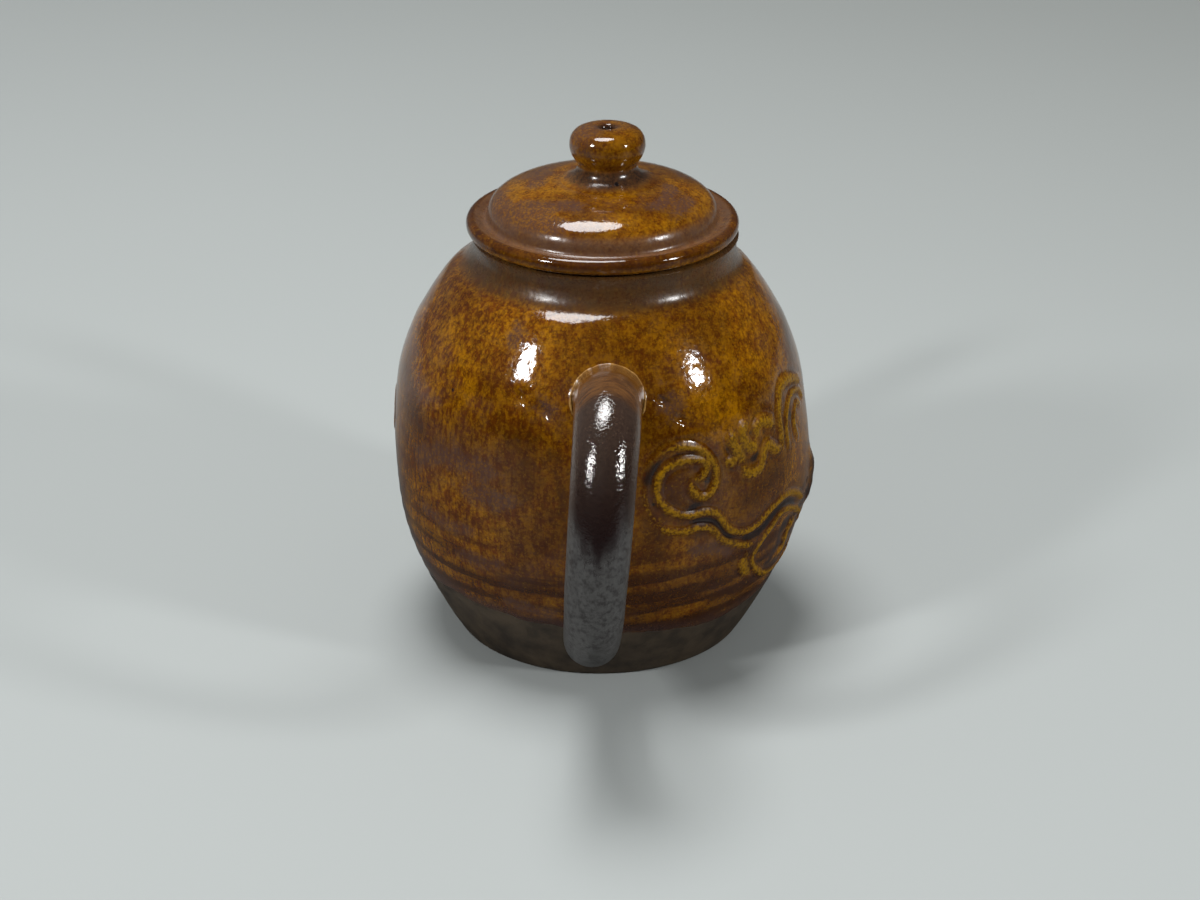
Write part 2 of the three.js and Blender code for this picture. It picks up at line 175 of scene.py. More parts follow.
def lay_strokes(
    table: Sequence[tuple[Line, float]], strength: float, radius: float = MAP_RADIUS, run_out: float = 2.4,
) -> list[Roll]:
    """Lays a table of lines and half widths on a flat map, all at one strength."""
    return [Roll(flat_line(line, radius), width, strength, run_out) for line, width in table]


def make_object(name: str, shape: BMesh, smooth: bool = True) -> Object:
    """Turns a bmesh into a shaded object at the origin.

    Args:
        name: the object's name.
        shape: the finished bmesh, which is freed.
        smooth: whether its faces shade smoothly.

    Returns:
        The new object, linked to the scene.
    """
    mesh = bpy.data.meshes.new(name)
    for face in shape.faces:
        face.smooth = smooth
    shape.to_mesh(mesh)
    shape.free()
    thing = bpy.data.objects.new(name, mesh)
    bpy.context.scene.collection.objects.link(thing)
    return thing


def spin_profile(outline: np.ndarray, steps: int, centre: Vector = Vector()) -> BMesh:
    """Spins an outline of (radius, height) rows, in metres, once round a vertical axis.

    Args:
        outline: the outline's points in order.
        steps: how many steps make the full turn.
        centre: a point on the axis.

    Returns:
        A closed bmesh with its faces pointing out.
    """
    shape = bmesh.new()
    verts = [shape.verts.new((centre.x + r, centre.y, centre.z + z)) for r, z in outline]
    edges = [shape.edges.new(pair) for pair in zip(verts, verts[1:])]
    if min(outline[0][0], outline[-1][0]) > WELD_GAP:
        edges.append(shape.edges.new((verts[-1], verts[0])))
    bmesh.ops.spin(
        shape, geom=verts + edges, cent=centre, axis=(0, 0, 1), dvec=(0, 0, 0),
        angle=2 * math.pi, steps=steps, use_merge=True, use_duplicate=False,
    )
    bmesh.ops.remove_doubles(shape, verts=shape.verts, dist=WELD_GAP)
    bmesh.ops.recalc_face_normals(shape, faces=shape.faces)
    return shape


def set_attributes(thing: Object, **values: Number) -> None:
    """Stores float attributes on the vertices.

    Args:
        thing: the object to store them on.
        values: one value to a vertex, or one for all, under each attribute's name.
    """
    for name, value in values.items():
        layer = thing.data.attributes.new(name, "FLOAT", "POINT")
        layer.data.foreach_set("value", np.array(np.broadcast_to(value, len(layer.data)), np.float32))


def vertex_places(thing: Object) -> np.ndarray:
    """Reads an object's vertex positions.

    Args:
        thing: a mesh object.

    Returns:
        The positions in metres, one to a row.
    """
    places = np.empty(len(thing.data.vertices) * 3, np.float32)
    thing.data.vertices.foreach_get("co", places)
    return places.reshape(-1, 3).astype(float)


def place_vertices(thing: Object, places: np.ndarray) -> None:
    """Writes an object's vertex positions from rows, in metres."""
    thing.data.vertices.foreach_set("co", places.astype(np.float32).ravel())
    thing.data.update()


def finish_piece(thing: Object, body: Body, slot: Slot, material: Material, *nodes: str) -> None:
    """Gives a piece its material and its body, hides the CAD nodes it stands for and logs its slot.

    Args:
        thing: the piece.
        body: the rigid body it rides on.
        slot: the record's slot that it takes its finish from.
        material: its one material.
        nodes: the CAD nodes it replaces.
    """
    thing.data.materials.clear()
    thing.data.materials.append(material)
    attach(thing, body.value)
    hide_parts(*nodes)
    log.info("%s rides on %s in %s, %d faces", thing.name, body.value, slot.value, len(thing.data.polygons))


@dataclass
class SweepStation:
    """One place along a swept piece: its centre, its side and up directions and half sizes."""

    centre: Vector
    side: Vector
    up: Vector
    half_width: float
    half_height: float


def ring_edges(shape: BMesh, ring: list) -> list:
    """Finds the edges between the neighbours in a ring of vertices."""
    return [shape.edges.get((a, b)) for a, b in zip(ring, ring[1:] + ring[:1])]


def sweep_rings(shape: BMesh, stations: list[SweepStation], sides: int) -> list[list]:
    """Extrudes an oval ring from station to station.

    Args:
        shape: the bmesh to add to.
        stations: the places the ring passes through.
        sides: how many vertices the ring has.

    Returns:
        The first and the last ring's vertices.
    """
    ring = bmesh.ops.create_circle(shape, cap_ends=False, radius=1, segments=sides)["verts"]
    local = [vert.co.copy() for vert in ring]
    rings = []
    for index, station in enumerate(stations):
        if index:
            grown = bmesh.ops.extrude_edge_only(shape, edges=ring_edges(shape, ring))
            fresh = [item for item in grown["geom"] if isinstance(item, BMVert)]
            partner = {edge.other_vert(vert): vert for vert in fresh for edge in vert.link_edges}
            ring = [partner[vert] for vert in ring]
        for vert, unit in zip(ring, local):
            vert.co = (
                station.centre
                + station.side * (unit.x * station.half_width)
                + station.up * (unit.y * station.half_height)
            )
        rings.append(ring)
    return [rings[0], rings[-1]]


def closed_bar(name: str, stations: list[SweepStation], sides: int) -> Object:
    """Sweeps an oval bar from station to station and closes both its ends.

    Args:
        name: the object's name.
        stations: the places the bar passes through.
        sides: how many vertices go round it.

    Returns:
        The bar as a shaded object.
    """
    shape = bmesh.new()
    for ring in sweep_rings(shape, stations, sides):
        bmesh.ops.contextual_create(shape, geom=ring)
    bmesh.ops.recalc_face_normals(shape, faces=shape.faces)
    return make_object(name, shape)


def path_stations(points: np.ndarray, half_width: Profile, half_height: Profile) -> list[SweepStation]:
    """Places stations along a path that runs near the XZ plane.

    Args:
        points: the path's points in metres.
        half_width: gives half the width at a share of the path from 0 to 1.
        half_height: gives half the height at such a share.

    Returns:
        One station for each point.
    """
    stations = []
    last = len(points) - 1
    for index, point in enumerate(points):
        ahead = Vector(points[min(index + 1, last)])
        tangent = (ahead - Vector(points[max(index - 1, 0)])).normalized()
        up = tangent.cross(Vector((0, 1, 0))).normalized()
        side = up.cross(tangent).normalized()
        share = index / last
        stations.append(SweepStation(Vector(point), side, up, half_width(share), half_height(share)))
    return stations


class NodeSheet:
    """Adds and joins shader nodes in one tree."""

    def __init__(self, tree: NodeTree) -> None:
        """Starts on an empty or fresh tree."""
        self.tree = tree

    def fill(self, node: Node, inputs: dict) -> None:
        """Fills a node's inputs.

        Args:
            node: the node.
            inputs: a socket to link or a plain value to set, under each input's name or index.
        """
        for name, value in inputs.items():
            if isinstance(value, NodeSocket):
                self.tree.links.new(value, node.inputs[name])
            else:
                node.inputs[name].default_value = value

    def add(self, kind: str, inputs: dict | None = None, **settings: object) -> Node:
        """Adds a node.

        Args:
            kind: the node's type.
            inputs: what to fill its inputs with.
            settings: the properties to set on it.

        Returns:
            The new node.
        """
        node = self.tree.nodes.new(kind)
        for name, value in settings.items():
            setattr(node, name, value)
        self.fill(node, inputs or {})
        return node

    def math(self, operation: str, *values: Value) -> NodeSocket:
        """Adds a Math node on up to three values and returns its output."""
        padded = (values + (0.0, 0.0))[:3]
        return self.add("ShaderNodeMath", dict(enumerate(padded)), operation=operation).outputs[0]

    def scaled(self, value: Value, gain: Value, offset: Value = 0.0) -> NodeSocket:
        """Multiplies a value by a gain and adds an offset."""
        return self.math("MULTIPLY_ADD", value, gain, offset)

    def minus(self, value: Value, less: Value) -> NodeSocket:
        """Subtracts one value from another."""
        return self.math("SUBTRACT", value, less)

    def times(self, *values: Value) -> NodeSocket:
        """Multiplies values.

        Args:
            values: two or more factors.

        Returns:
            Their product.
        """
        product = values[0]
        for value in values[1:]:
            product = self.math("MULTIPLY", product, value)
        return product

    def ramp(self, value: Value, low: float, high: float) -> NodeSocket:
        """Maps a value smoothly from low..high to 0..1, clamped."""
        inputs = {"Value": value, "From Min": low, "From Max": high}
        return self.add("ShaderNodeMapRange", inputs, interpolation_type="SMOOTHSTEP").outputs["Result"]

    def mix(self, share: Value, first: Colour, second: Colour) -> NodeSocket:
        """Mixes two colours.

        Args:
            share: how much of the second shows, from 0 to 1.
            first: the colour at 0.
            second: the colour at 1.

        Returns:
            The mixed colour.
        """
        node = self.add("ShaderNodeMix", {"Factor": share}, data_type="RGBA")
        colours = [index for index, socket in enumerate(node.inputs) if socket.type == "RGBA"]
        self.fill(node, {colours[0]: first, colours[1]: second})
        return next(socket for socket in node.outputs if socket.type == "RGBA")

    def coats(self, colour: Colour, *layers: tuple[Value, Colour]) -> NodeSocket:
        """Lays coats over a colour.

        Args:
            colour: the colour below them.
            layers: pairs of a share and a colour, the lowest coat first.

        Returns:
            The colour that shows.
        """
        for share, paint in layers:
            colour = self.mix(share, colour, paint)
        return colour

    def noise(
        self, vector: NodeSocket, scale: float, detail: float = 3, roughness: float = 0.55,
        distortion: float = 0,
    ) -> NodeSocket:
        """Adds a noise texture.

        Args:
            vector: the coordinate it follows.
            scale: how fine it is.
            detail: how many octaves it has.
            roughness: how strong the finer octaves are.
            distortion: how far it is warped.

        Returns:
            Its value.
        """
        return self.add("ShaderNodeTexNoise", {
            "Vector": vector, "Scale": scale, "Detail": detail,
            "Roughness": roughness, "Distortion": distortion,
        }).outputs["Fac"]

    def cells(self, vector: NodeSocket, scale: float, feature: str) -> bpy_prop_collection:
        """Adds a Voronoi texture and returns its outputs."""
        inputs = {"Vector": vector, "Scale": scale}
        return self.add("ShaderNodeTexVoronoi", inputs, feature=feature).outputs

    def stretched(self, vector: NodeSocket, scale: tuple, shift: tuple = (0, 0, 0)) -> NodeSocket:
        """Scales and shifts a coordinate."""
        inputs = {"Vector": vector, "Scale": scale, "Location": shift}
        return self.add("ShaderNodeMapping", inputs).outputs["Vector"]

    def attribute(self, name: str) -> NodeSocket:
        """Reads a float attribute of the mesh."""
        return self.add("ShaderNodeAttribute", attribute_name=name).outputs["Fac"]

    def axes(self, vector: NodeSocket) -> bpy_prop_collection:
        """Splits a vector into its three parts."""
        return self.add("ShaderNodeSeparateXYZ", {0: vector}).outputs

    def place(self) -> NodeSocket:
        """Gives the object coordinate."""
        return self.add("ShaderNodeTexCoord").outputs["Object"]

    def glossy_ray(self) -> NodeSocket:
        """Tells whether a ray is a mirrored one."""
        return self.add("ShaderNodeLightPath").outputs["Is Glossy Ray"]

    def effect(self, group: NodeTree, vector: NodeSocket) -> bpy_prop_collection:
        """Places a shared group, gives it its coordinate and returns its outputs."""
        return self.add("ShaderNodeGroup", {"Vector": vector}, node_tree=group).outputs

    def bump(self, height: Value, depth: float, strength: float) -> NodeSocket:
        """Raises a height, in metres at full value, and returns the bent normal."""
        inputs = {"Strength": strength, "Distance": depth, "Height": height}
        return self.add("ShaderNodeBump", inputs).outputs[0]


def srgb(red: int, green: int, blue: int) -> tuple[float, float, float, float]:
    """Turns an 8-bit display colour into a linear one.

    Args:
        red, green, blue: the display levels, from 0 to 255.

    Returns:
        The linear colour, fully opaque.
    """
    shares = [level / 255 for level in (red, green, blue)]
    linear = [share / 12.92 if share <= 0.04045 else ((share + 0.055) / 1.055) ** 2.4 for share in shares]
    return (*linear, 1.0)


def start_material(name: str) -> tuple[Material, Node, NodeSheet]:
    """Starts a material.

    Args:
        name: the material's name.

    Returns:
        The material, its shader and a sheet on its nodes.
    """
    material = bpy.data.materials.new(name)
    material.use_nodes = True
    return material, material.node_tree.nodes["Principled BSDF"], NodeSheet(material.node_tree)


def effect_group(name: str, outputs: tuple[str, ...]) -> tuple[NodeTree, NodeSheet, NodeSocket, Node]:
    """Starts a shader node group that reads a vector.

    Args:
        name: the group's name.
        outputs: the names of its value outputs.

    Returns:
        The group, a sheet on it, its vector input and its output node.
    """
    group = bpy.data.node_groups.new(name, "ShaderNodeTree")
    group.interface.new_socket("Vector", in_out="INPUT", socket_type="NodeSocketVector")
    for output in outputs:
        group.interface.new_socket(output, in_out="OUTPUT", socket_type="NodeSocketFloat")
    sheet = NodeSheet(group)
    return group, sheet, sheet.add("NodeGroupInput").outputs["Vector"], sheet.add("NodeGroupOutput")


def grain_group() -> NodeTree:
    """Builds the fine grain that every glaze shares.

    Returns:
        A group with outputs Net, a dark mesh of threads, Speck, Peel, the glaze's own ripple,
        and Pit, a few pinholes.
    """
    group, sheet, vector, leave = effect_group("glaze_grain", ("Net", "Speck", "Peel", "Pit"))
    wobble = sheet.add("ShaderNodeTexNoise", {"Vector": vector, "Scale": 1100})
    bent = sheet.add(
        "ShaderNodeVectorMath", {0: wobble.outputs["Color"], 1: (1.4 * MM,) * 3, 2: vector},
        operation="MULTIPLY_ADD",
    ).outputs[0]
    thread = sheet.ramp(sheet.cells(bent, 1150, "DISTANCE_TO_EDGE")["Distance"], 0.3, 0.02)
    broken = sheet.ramp(sheet.noise(vector, 700, detail=2), 0.36, 0.62)
    pits = sheet.cells(vector, 150, "F1")
    hole = sheet.ramp(pits["Distance"], 0.1, 0.04)
    chance = sheet.add("ShaderNodeSeparateColor", {0: pits["Color"]}).outputs[0]
    sheet.fill(leave, {
        "Net": sheet.times(thread, broken),
        "Speck": sheet.noise(vector, 1700, detail=2, roughness=0.7),
        "Peel": sheet.noise(vector, 640, detail=1.5, roughness=0.45),
        "Pit": sheet.times(hole, sheet.ramp(chance, 0.88, 0.92)),
    })
    return group


def drift_group() -> NodeTree:
    """Builds the slow drifts of colour in a runny glaze.

    Returns:
        A group with outputs Cloud, Mottle, Streak (level bands), Run (upright runs) and Dusk
        (purple patches), each from 0 to 1.
    """
    group, sheet, vector, leave = effect_group("glaze_drift", ("Cloud", "Mottle", "Streak", "Run", "Dusk"))
    ring_gap = 4.2 * MM
    streak = sheet.noise(sheet.stretched(vector, (0.17, 0.17, 1.5)), 190, distortion=0.25)
    turns = sheet.scaled(sheet.axes(vector)["Z"], 2 * math.pi / ring_gap, sheet.times(streak, 9.0))
    level = sheet.scaled(sheet.math("SINE", turns), 0.09, streak)
    dusk = sheet.noise(sheet.stretched(vector, (1, 1, 1.5), (0.3, 0.1, 0.2)), 64, detail=4, roughness=0.6)
    run = sheet.noise(sheet.stretched(vector, (1, 1, 0.2)), 1150, roughness=0.6)
    sheet.fill(leave, {
        "Cloud": sheet.ramp(sheet.noise(vector, 52, distortion=0.4), 0.38, 0.64),
        "Mottle": sheet.ramp(sheet.noise(vector, 330, detail=4, roughness=0.7), 0.34, 0.68),
        "Streak": sheet.ramp(level, 0.4, 0.6),
        "Run": sheet.ramp(run, 0.4, 0.66),
        "Dusk": sheet.ramp(dusk, 0.5, 0.68),
    })
    return group


@dataclass(frozen=True)
class AmberGlaze:
    """A thin runny iron glaze: golden where thin, dark purple-brown where it pools."""

    name: str
    thin: tuple = srgb(169, 112, 3)
    middle: tuple = srgb(104, 52, 2)
    # The thick colour also paints shade: the handle's shadow on the wall and the darkening towards the
    # bottom.
    thick: tuple = srgb(52, 22, 3)
    dusk: tuple = srgb(84, 58, 48)
    # Also used for painted shade under the lid's brim, round the knob's stem and in its vent.
    pooled: tuple = srgb(28, 22, 24)
    ridge: tuple = srgb(156, 112, 3)
    # Painted shade and reflection: the greyish-brown on the pot's neck under the brim, in the lid's moat and
    # round the knob's stem, where the glaze is also duller.
    haze: tuple = srgb(74, 53, 32)
    clay: tuple = srgb(84, 70, 53)
    clay_dark: tuple = srgb(54, 45, 35)
    lip: tuple = srgb(62, 44, 42)
    banded: float = 0.85
    band_span: tuple = (43 * MM, 24 * MM)
    ragged: float = 2.2 * MM
    bare_span: tuple = (1 + 0.6 * MM, 1 - 0.5 * MM)
    lip_span: tuple = (1 + 3.6 * MM, 1 + 0.4 * MM)
    ripple: float = 0.09 * MM
    ior: float = 1.58

    def build(self, grain: NodeTree, drift: NodeTree) -> Material:
        """Makes the material.

        Args:
            grain: the group for threads, specks and pinholes.
            drift: the group for drifts of colour.

        Returns:
            The finished material.
        """
        material, shader, sheet = start_material(self.name)
        vector = sheet.place()
        fine = sheet.effect(grain, vector)
        slow = sheet.effect(drift, vector)
        colour = self.glaze_colour(sheet, fine, slow, sheet.axes(vector)["Z"])
        colour = self.relief_colour(sheet, fine, colour)
        rough = sheet.scaled(fine["Speck"], 0.09, 0.035)
        rough = sheet.scaled(sheet.attribute("haze"), 0.2, rough)
        raised = sheet.ramp(sheet.attribute("ridge"), 0.02, 0.3)
        rough = sheet.scaled(raised, 0.24, rough)
        edge = sheet.math("ADD", sheet.attribute("above_line"), 1.0)
        edge = sheet.scaled(sheet.minus(sheet.noise(vector, 150, detail=4), 0.5), self.ragged, edge)
        bare = sheet.ramp(edge, *self.bare_span)
        lip = sheet.times(sheet.ramp(edge, *self.lip_span), 0.7)
        blotch = sheet.ramp(sheet.noise(vector, 180, detail=5, roughness=0.65), 0.3, 0.7)
        clay = sheet.mix(blotch, self.clay, self.clay_dark)
        ripple = sheet.minus(sheet.scaled(fine["Net"], -0.08, fine["Peel"]), fine["Pit"])
        sheet.fill(shader, {
            "Base Color": sheet.coats(colour, (lip, self.lip), (bare, clay)),
            "Roughness": sheet.math("MAXIMUM", rough, sheet.times(bare, 0.58)),
            "Specular IOR Level": sheet.scaled(raised, -0.34, 0.5),
            "IOR": self.ior,
            "Normal": sheet.bump(ripple, self.ripple, 0.6),
        })
        return material

    def glaze_colour(
        self, sheet: NodeSheet, fine: bpy_prop_collection, slow: bpy_prop_collection, height: NodeSocket,
    ) -> NodeSocket:
        """Lays the drifts, bands and threads of the running glaze.

        Args:
            sheet: the material's sheet.
            fine: the grain group's outputs.
            slow: the drift group's outputs.
            height: the height above the table, in metres.

        Returns:
            The glaze's colour on a plain wall.
        """
        # Thin golden glaze on the wall, and a painted highlight on the slip thread.
        gilt = sheet.attribute("gilt")
        tone = sheet.scaled(fine["Speck"], 0.75, sheet.times(slow["Mottle"], 0.28))
        tone = sheet.minus(tone, sheet.times(slow["Run"], sheet.attribute("streaky"), 0.3))
        tone = sheet.scaled(gilt, 0.12, tone)
        cloud = sheet.times(sheet.scaled(gilt, -0.4, 0.5), slow["Cloud"])
        # Darker towards the bottom: the glaze's level bands over an even darkening that is painted shade near
        # the table.
        low = sheet.ramp(height, *self.band_span)
        banded = sheet.times(sheet.scaled(slow["Streak"], self.banded, 0.2), low, 0.85)
        # Thick glaze, and painted shadow of the handle on the wall beside and below its root.
        heavy = sheet.times(sheet.attribute("thick"), sheet.scaled(slow["Mottle"], 0.55, 0.45))
        broken = sheet.scaled(sheet.ramp(fine["Speck"], 0.62, 0.36), 0.45, 0.45)
        smudge = sheet.scaled(slow["Mottle"], 0.5, sheet.minus(sheet.attribute("dusk"), 0.25))
        misty = sheet.scaled(slow["Mottle"], 0.4, sheet.scaled(fine["Speck"], 0.5, 0.28))
        return sheet.coats(
            sheet.mix(sheet.ramp(tone, 0.18, 0.76), self.middle, self.thin),
            (cloud, self.thick),
            (banded, self.thick),
            (heavy, self.thick),
            (sheet.times(fine["Net"], 0.5), self.thick),
            (sheet.times(slow["Dusk"], broken, 0.45), self.dusk),
            (sheet.times(sheet.ramp(smudge, 0.05, 0.9), broken), self.dusk),
            (sheet.times(sheet.attribute("haze"), misty), self.haze),
        )

    def relief_colour(self, sheet: NodeSheet, fine: bpy_prop_collection, colour: Colour) -> NodeSocket:
        """Thins the glaze on ridges and darkens it where it pools. It also paints shade under the lid's brim,
        round the knob's stem and in its vent.

        Args:
            sheet: the material's sheet.
            fine: the grain group's outputs.
            colour: the glaze's colour on a plain wall.

        Returns:
            The glaze's colour.
        """
        grainy = sheet.minus(sheet.times(fine["Speck"], 2.0), 1.0)
        ridge = sheet.ramp(sheet.math("ADD", grainy, sheet.attribute("ridge")), 0.2, 0.85)
        freckles = sheet.times(sheet.ramp(fine["Speck"], 0.6, 0.38), 0.6)
        speckled = sheet.mix(freckles, self.ridge, self.thick)
        pool = sheet.ramp(sheet.scaled(grainy, 0.5, sheet.attribute("pool")), 0.1, 0.8)
        return sheet.coats(
            colour,
            (sheet.times(ridge, 0.95), speckled),
            (sheet.times(pool, 0.9), self.pooled),
            (fine["Pit"], self.pooled),
        )


@dataclass(frozen=True)
class DarkGlaze:
    """The handle's nearly black glaze: glossy above, dull below, brushed on at the root, with a painted sheen
    on its upper flanks and a lower grey that is partly painted reflection of the table.
    """

    name: str = "handle_dark_glaze"
    base: tuple = srgb(26, 14, 15)
    warm: tuple = srgb(116, 78, 42)
    brushed: tuple = srgb(74, 46, 28)
    dull: tuple = srgb(92, 91, 89)
    sheen: tuple = srgb(92, 72, 58)
    arch: float = 60.0
    root_span: tuple = (37 * MM, 34.5 * MM)
    upper_span: tuple = (62 * MM, 36 * MM)
    side_span: tuple = (4.2 * MM, 6.4 * MM)
    dull_span: tuple = (61 * MM, 54 * MM)
    drip: float = 10 * MM
    ripple: float = 0.09 * MM
    ior: float = 1.85

    def build(self, grain: NodeTree, drift: NodeTree) -> Material:
        """Makes the material.

        Args:
            grain: the group for threads, specks and pinholes.
            drift: the group for drifts of colour.

        Returns:
            The finished material.
        """
        material, shader, sheet = start_material(self.name)
        vector = sheet.place()
        fine = sheet.effect(grain, vector)
        slow = sheet.effect(drift, vector)
        across = sheet.attribute("across")
        aside = sheet.math("ABSOLUTE", across)
        arched = sheet.scaled(sheet.times(across, across), -self.arch, sheet.attribute("along"))
        combed = sheet.add("ShaderNodeCombineXYZ", {"X": across, "Y": arched}).outputs[0]
        hairs = sheet.noise(sheet.stretched(combed, (0.2, 1, 1)), 1700, distortion=0.4)
        hairs = sheet.scaled(sheet.ramp(hairs, 0.32, 0.72), 0.75, 0.1)
        near_root = sheet.ramp(arched, *self.root_span)
        warm = sheet.times(near_root, sheet.scaled(slow["Mottle"], 0.2, 0.8))
        root = sheet.mix(hairs, self.warm, self.brushed)
        upper = sheet.ramp(arched, *self.upper_span)
        # Painted sheen: a grey-brown laid on the upper flanks as a reflection.
        flank = sheet.times(sheet.ramp(aside, *self.side_span), 0.6)
        side = sheet.times(
            sheet.scaled(upper, 0.42, flank), sheet.minus(1.0, near_root),
            sheet.scaled(fine["Speck"], 1.6, 0.1),
        )
        # Dull grey low down: partly a satin glaze and partly a painted reflection of the pale table.
        drips = sheet.noise(sheet.stretched(combed, (1, 0.1, 1)), 520)
        dried = sheet.scaled(drips, self.drip, sheet.scaled(aside, -1.4, sheet.axes(vector)["Z"]))
        low = sheet.ramp(dried, *self.dull_span)
        patch = sheet.ramp(sheet.noise(vector, 900, roughness=0.7), 0.3, 0.6)
        dull = sheet.times(low, sheet.scaled(patch, 0.55, 0.22))
        ripple = sheet.scaled(sheet.times(hairs, near_root), -0.12, fine["Peel"])
        sheet.fill(shader, {
            "Base Color": sheet.coats(
                self.base, (warm, root), (side, self.sheen), (dull, self.dull),
                (sheet.times(fine["Pit"], 0.6), self.dull),
            ),
            "Roughness": sheet.scaled(low, 0.24, sheet.scaled(fine["Speck"], 0.1, 0.03)),
            "IOR": self.ior,
            "Normal": sheet.bump(sheet.scaled(fine["Speck"], 1.05, ripple), self.ripple, 0.9),
        })
        return material


@dataclass(frozen=True)
class FiredClay:
    """Bare stoneware where no glaze runs."""

    name: str = "bare_fired_clay"
    base: tuple = srgb(96, 76, 58)
    dark: tuple = srgb(60, 46, 36)
    grit: float = 0.15 * MM

    def build(self, grain: NodeTree) -> Material:
        """Makes the material.

        Args:
            grain: the group for threads, specks and pinholes.

        Returns:
            The finished material.
        """
        material, shader, sheet = start_material(self.name)
        vector = sheet.place()
        speck = sheet.effect(grain, vector)["Speck"]
        blotch = sheet.noise(vector, 160, detail=4)
        share = sheet.scaled(speck, 0.5, sheet.minus(blotch, 0.3))
        sheet.fill(shader, {
            "Base Color": sheet.mix(share, self.base, self.dark),
            "Roughness": sheet.scaled(blotch, 0.2, 0.55),
            "Normal": sheet.bump(speck, self.grit, 0.5),
        })
        return material


@dataclass
class Finishes:
    """Every material of the teapot, built once."""

    grain: NodeTree = field(default_factory=grain_group)
    drift: NodeTree = field(default_factory=drift_group)

    def __post_init__(self) -> None:
        """Builds the materials."""
        pot = AmberGlaze("pot_amber_glaze")
        lid = AmberGlaze(
            "lid_amber_glaze", middle=srgb(106, 54, 4), thin=srgb(162, 108, 8), haze=srgb(104, 76, 60),
            thick=srgb(52, 17, 3),
        )
        # The thread's pale gold is partly a painted highlight along its top and sides.
        thread = AmberGlaze(
            "thread_amber_glaze", middle=srgb(104, 62, 20), thin=srgb(214, 166, 92), thick=srgb(92, 52, 18),
        )
        self.pot, self.lid, self.thread, self.handle = (
            glaze.build(self.grain, self.drift) for glaze in (pot, lid, thread, DarkGlaze())
        )
        self.clay = FiredClay().build(self.grain)


@dataclass(frozen=True)
class Trail:
    """A trailed line of clay: its (azimuth, height) pairs, and its size in millimetres.

    It rises to its full height over run_out at each end.
    """

    line: tuple
    half_width: float = 0.68
    height: float = 0.46
    run_out: float = 2.4


# The relief's lines, from the handle towards the spout.
CLOUD_TRAILS = [
    Trail((
        (24.5, 47.2), (25.2, 45.1), (27.4, 43.5), (30, 43.6), (32.2, 45.8), (32, 48.8), (30.2, 51.4),
        (27, 53.4), (22.6, 54.4), (18.4, 54.1),
    )),
    Trail(((20.6, 54.4), (17.6, 54), (14, 51.6), (12.2, 48), (12.1, 44), (14, 40.2), (18.2, 37.5)), 0.8, 0.2),
    Trail((
        (15.6, 38.8), (18.2, 37.5), (22.4, 36.7), (26.4, 36.9), (29.8, 36.4), (32.4, 35), (34.6, 32.9),
        (38, 31.4), (42.4, 29.8), (47, 28.5),
    ), 0.7, 0.4),
    Trail((
        (26, 47.2), (28.4, 47.9), (29.7, 49.4), (28.6, 50.8), (25, 51.5), (20.6, 51.4), (17, 50),
        (15.2, 47.4), (15.5, 44.6), (17.6, 42.4), (21, 40.7), (25, 39.9), (28.6, 40), (31.6, 39.4),
        (34.2, 37.4), (36, 35.3), (38.8, 33.7), (43, 32.6), (47.4, 32.8), (52, 33.9), (57, 34.8),
        (62, 35.1), (67, 34.3), (73, 32), (79, 29.2),
    )),
    Trail((
        (80.4, 23.6), (77.6, 26.4), (72.4, 28.7), (66.4, 31), (60.6, 31.7), (55.6, 30.3), (51, 28.3),
        (48.1, 26.2), (48, 24.2), (51, 21.5), (56, 19), (62.4, 17.4), (69, 16.8), (75, 17.8), (79, 20.2),
    ), 0.68, 0.42),
    Trail(((72.4, 26.6), (68.6, 25.8), (66.8, 24.1), (67, 22.2), (64.4, 20.6)), 1.1, 0.5),
    Trail(((44.4, 27), (43.7, 25.3), (45, 23.4), (48, 21.6)), 1.15, 0.5),
    Trail((
        (79, 55.2), (74.6, 56.8), (70, 58), (65.6, 58.6), (61.8, 57.8), (59.6, 55.2), (59, 51.6),
        (60.2, 46.4),
    ), 1.0, 0.42),
    Trail((
        (80, 51.2), (76, 53.9), (71.4, 55.3), (66.8, 54.9), (63.8, 52.8), (62.7, 49.4), (63.8, 45.2),
    ), 0.68, 0.4),
    Trail(((75.6, 51.2), (72, 52.5), (69.3, 51.2), (68.6, 48.4), (71, 45.4)), 0.68, 0.4),
    Trail(((37.7, 55), (38.3, 53.3), (39.3, 51.6), (40.4, 49.9), (42, 48.3)), 1.25, 0.62, 1.4),
    Trail(((35.8, 49.9), (37.4, 49.1), (39.6, 48.8)), 1.05, 0.5, 1.0),
    Trail(((44, 56), (42.4, 54.6), (42.2, 52.8), (43.6, 51.3), (45.8, 50.4), (47.7, 50.7)), 1.25, 0.62, 1.4),
    Trail(((48.2, 51.8), (47.5, 53.4), (49.2, 54.4), (52, 54), (55.6, 52.7)), 1.2, 0.58, 1.4),
    Trail((
        (41.3, 46.8), (43.2, 45.4), (46, 44.9), (48.5, 45.4), (49.8, 47.2), (50.7, 48.7), (52.2, 49.2),
        (54.2, 48.1), (56.6, 47), (59, 46.6),
    ), 1.0, 0.52, 1.6),
]
CREST_LINE = [(86.6, 37), (88.6, 34), (89, 30.6), (87.8, 27.2), (85.8, 25)]
TAIL_LINE = [(-97, 40.4), (-90, 41.2), (-85.6, 44), (-85.4, 47.4), (-89, 50), (-93.6, 49.6), (-94.4, 46.6)]

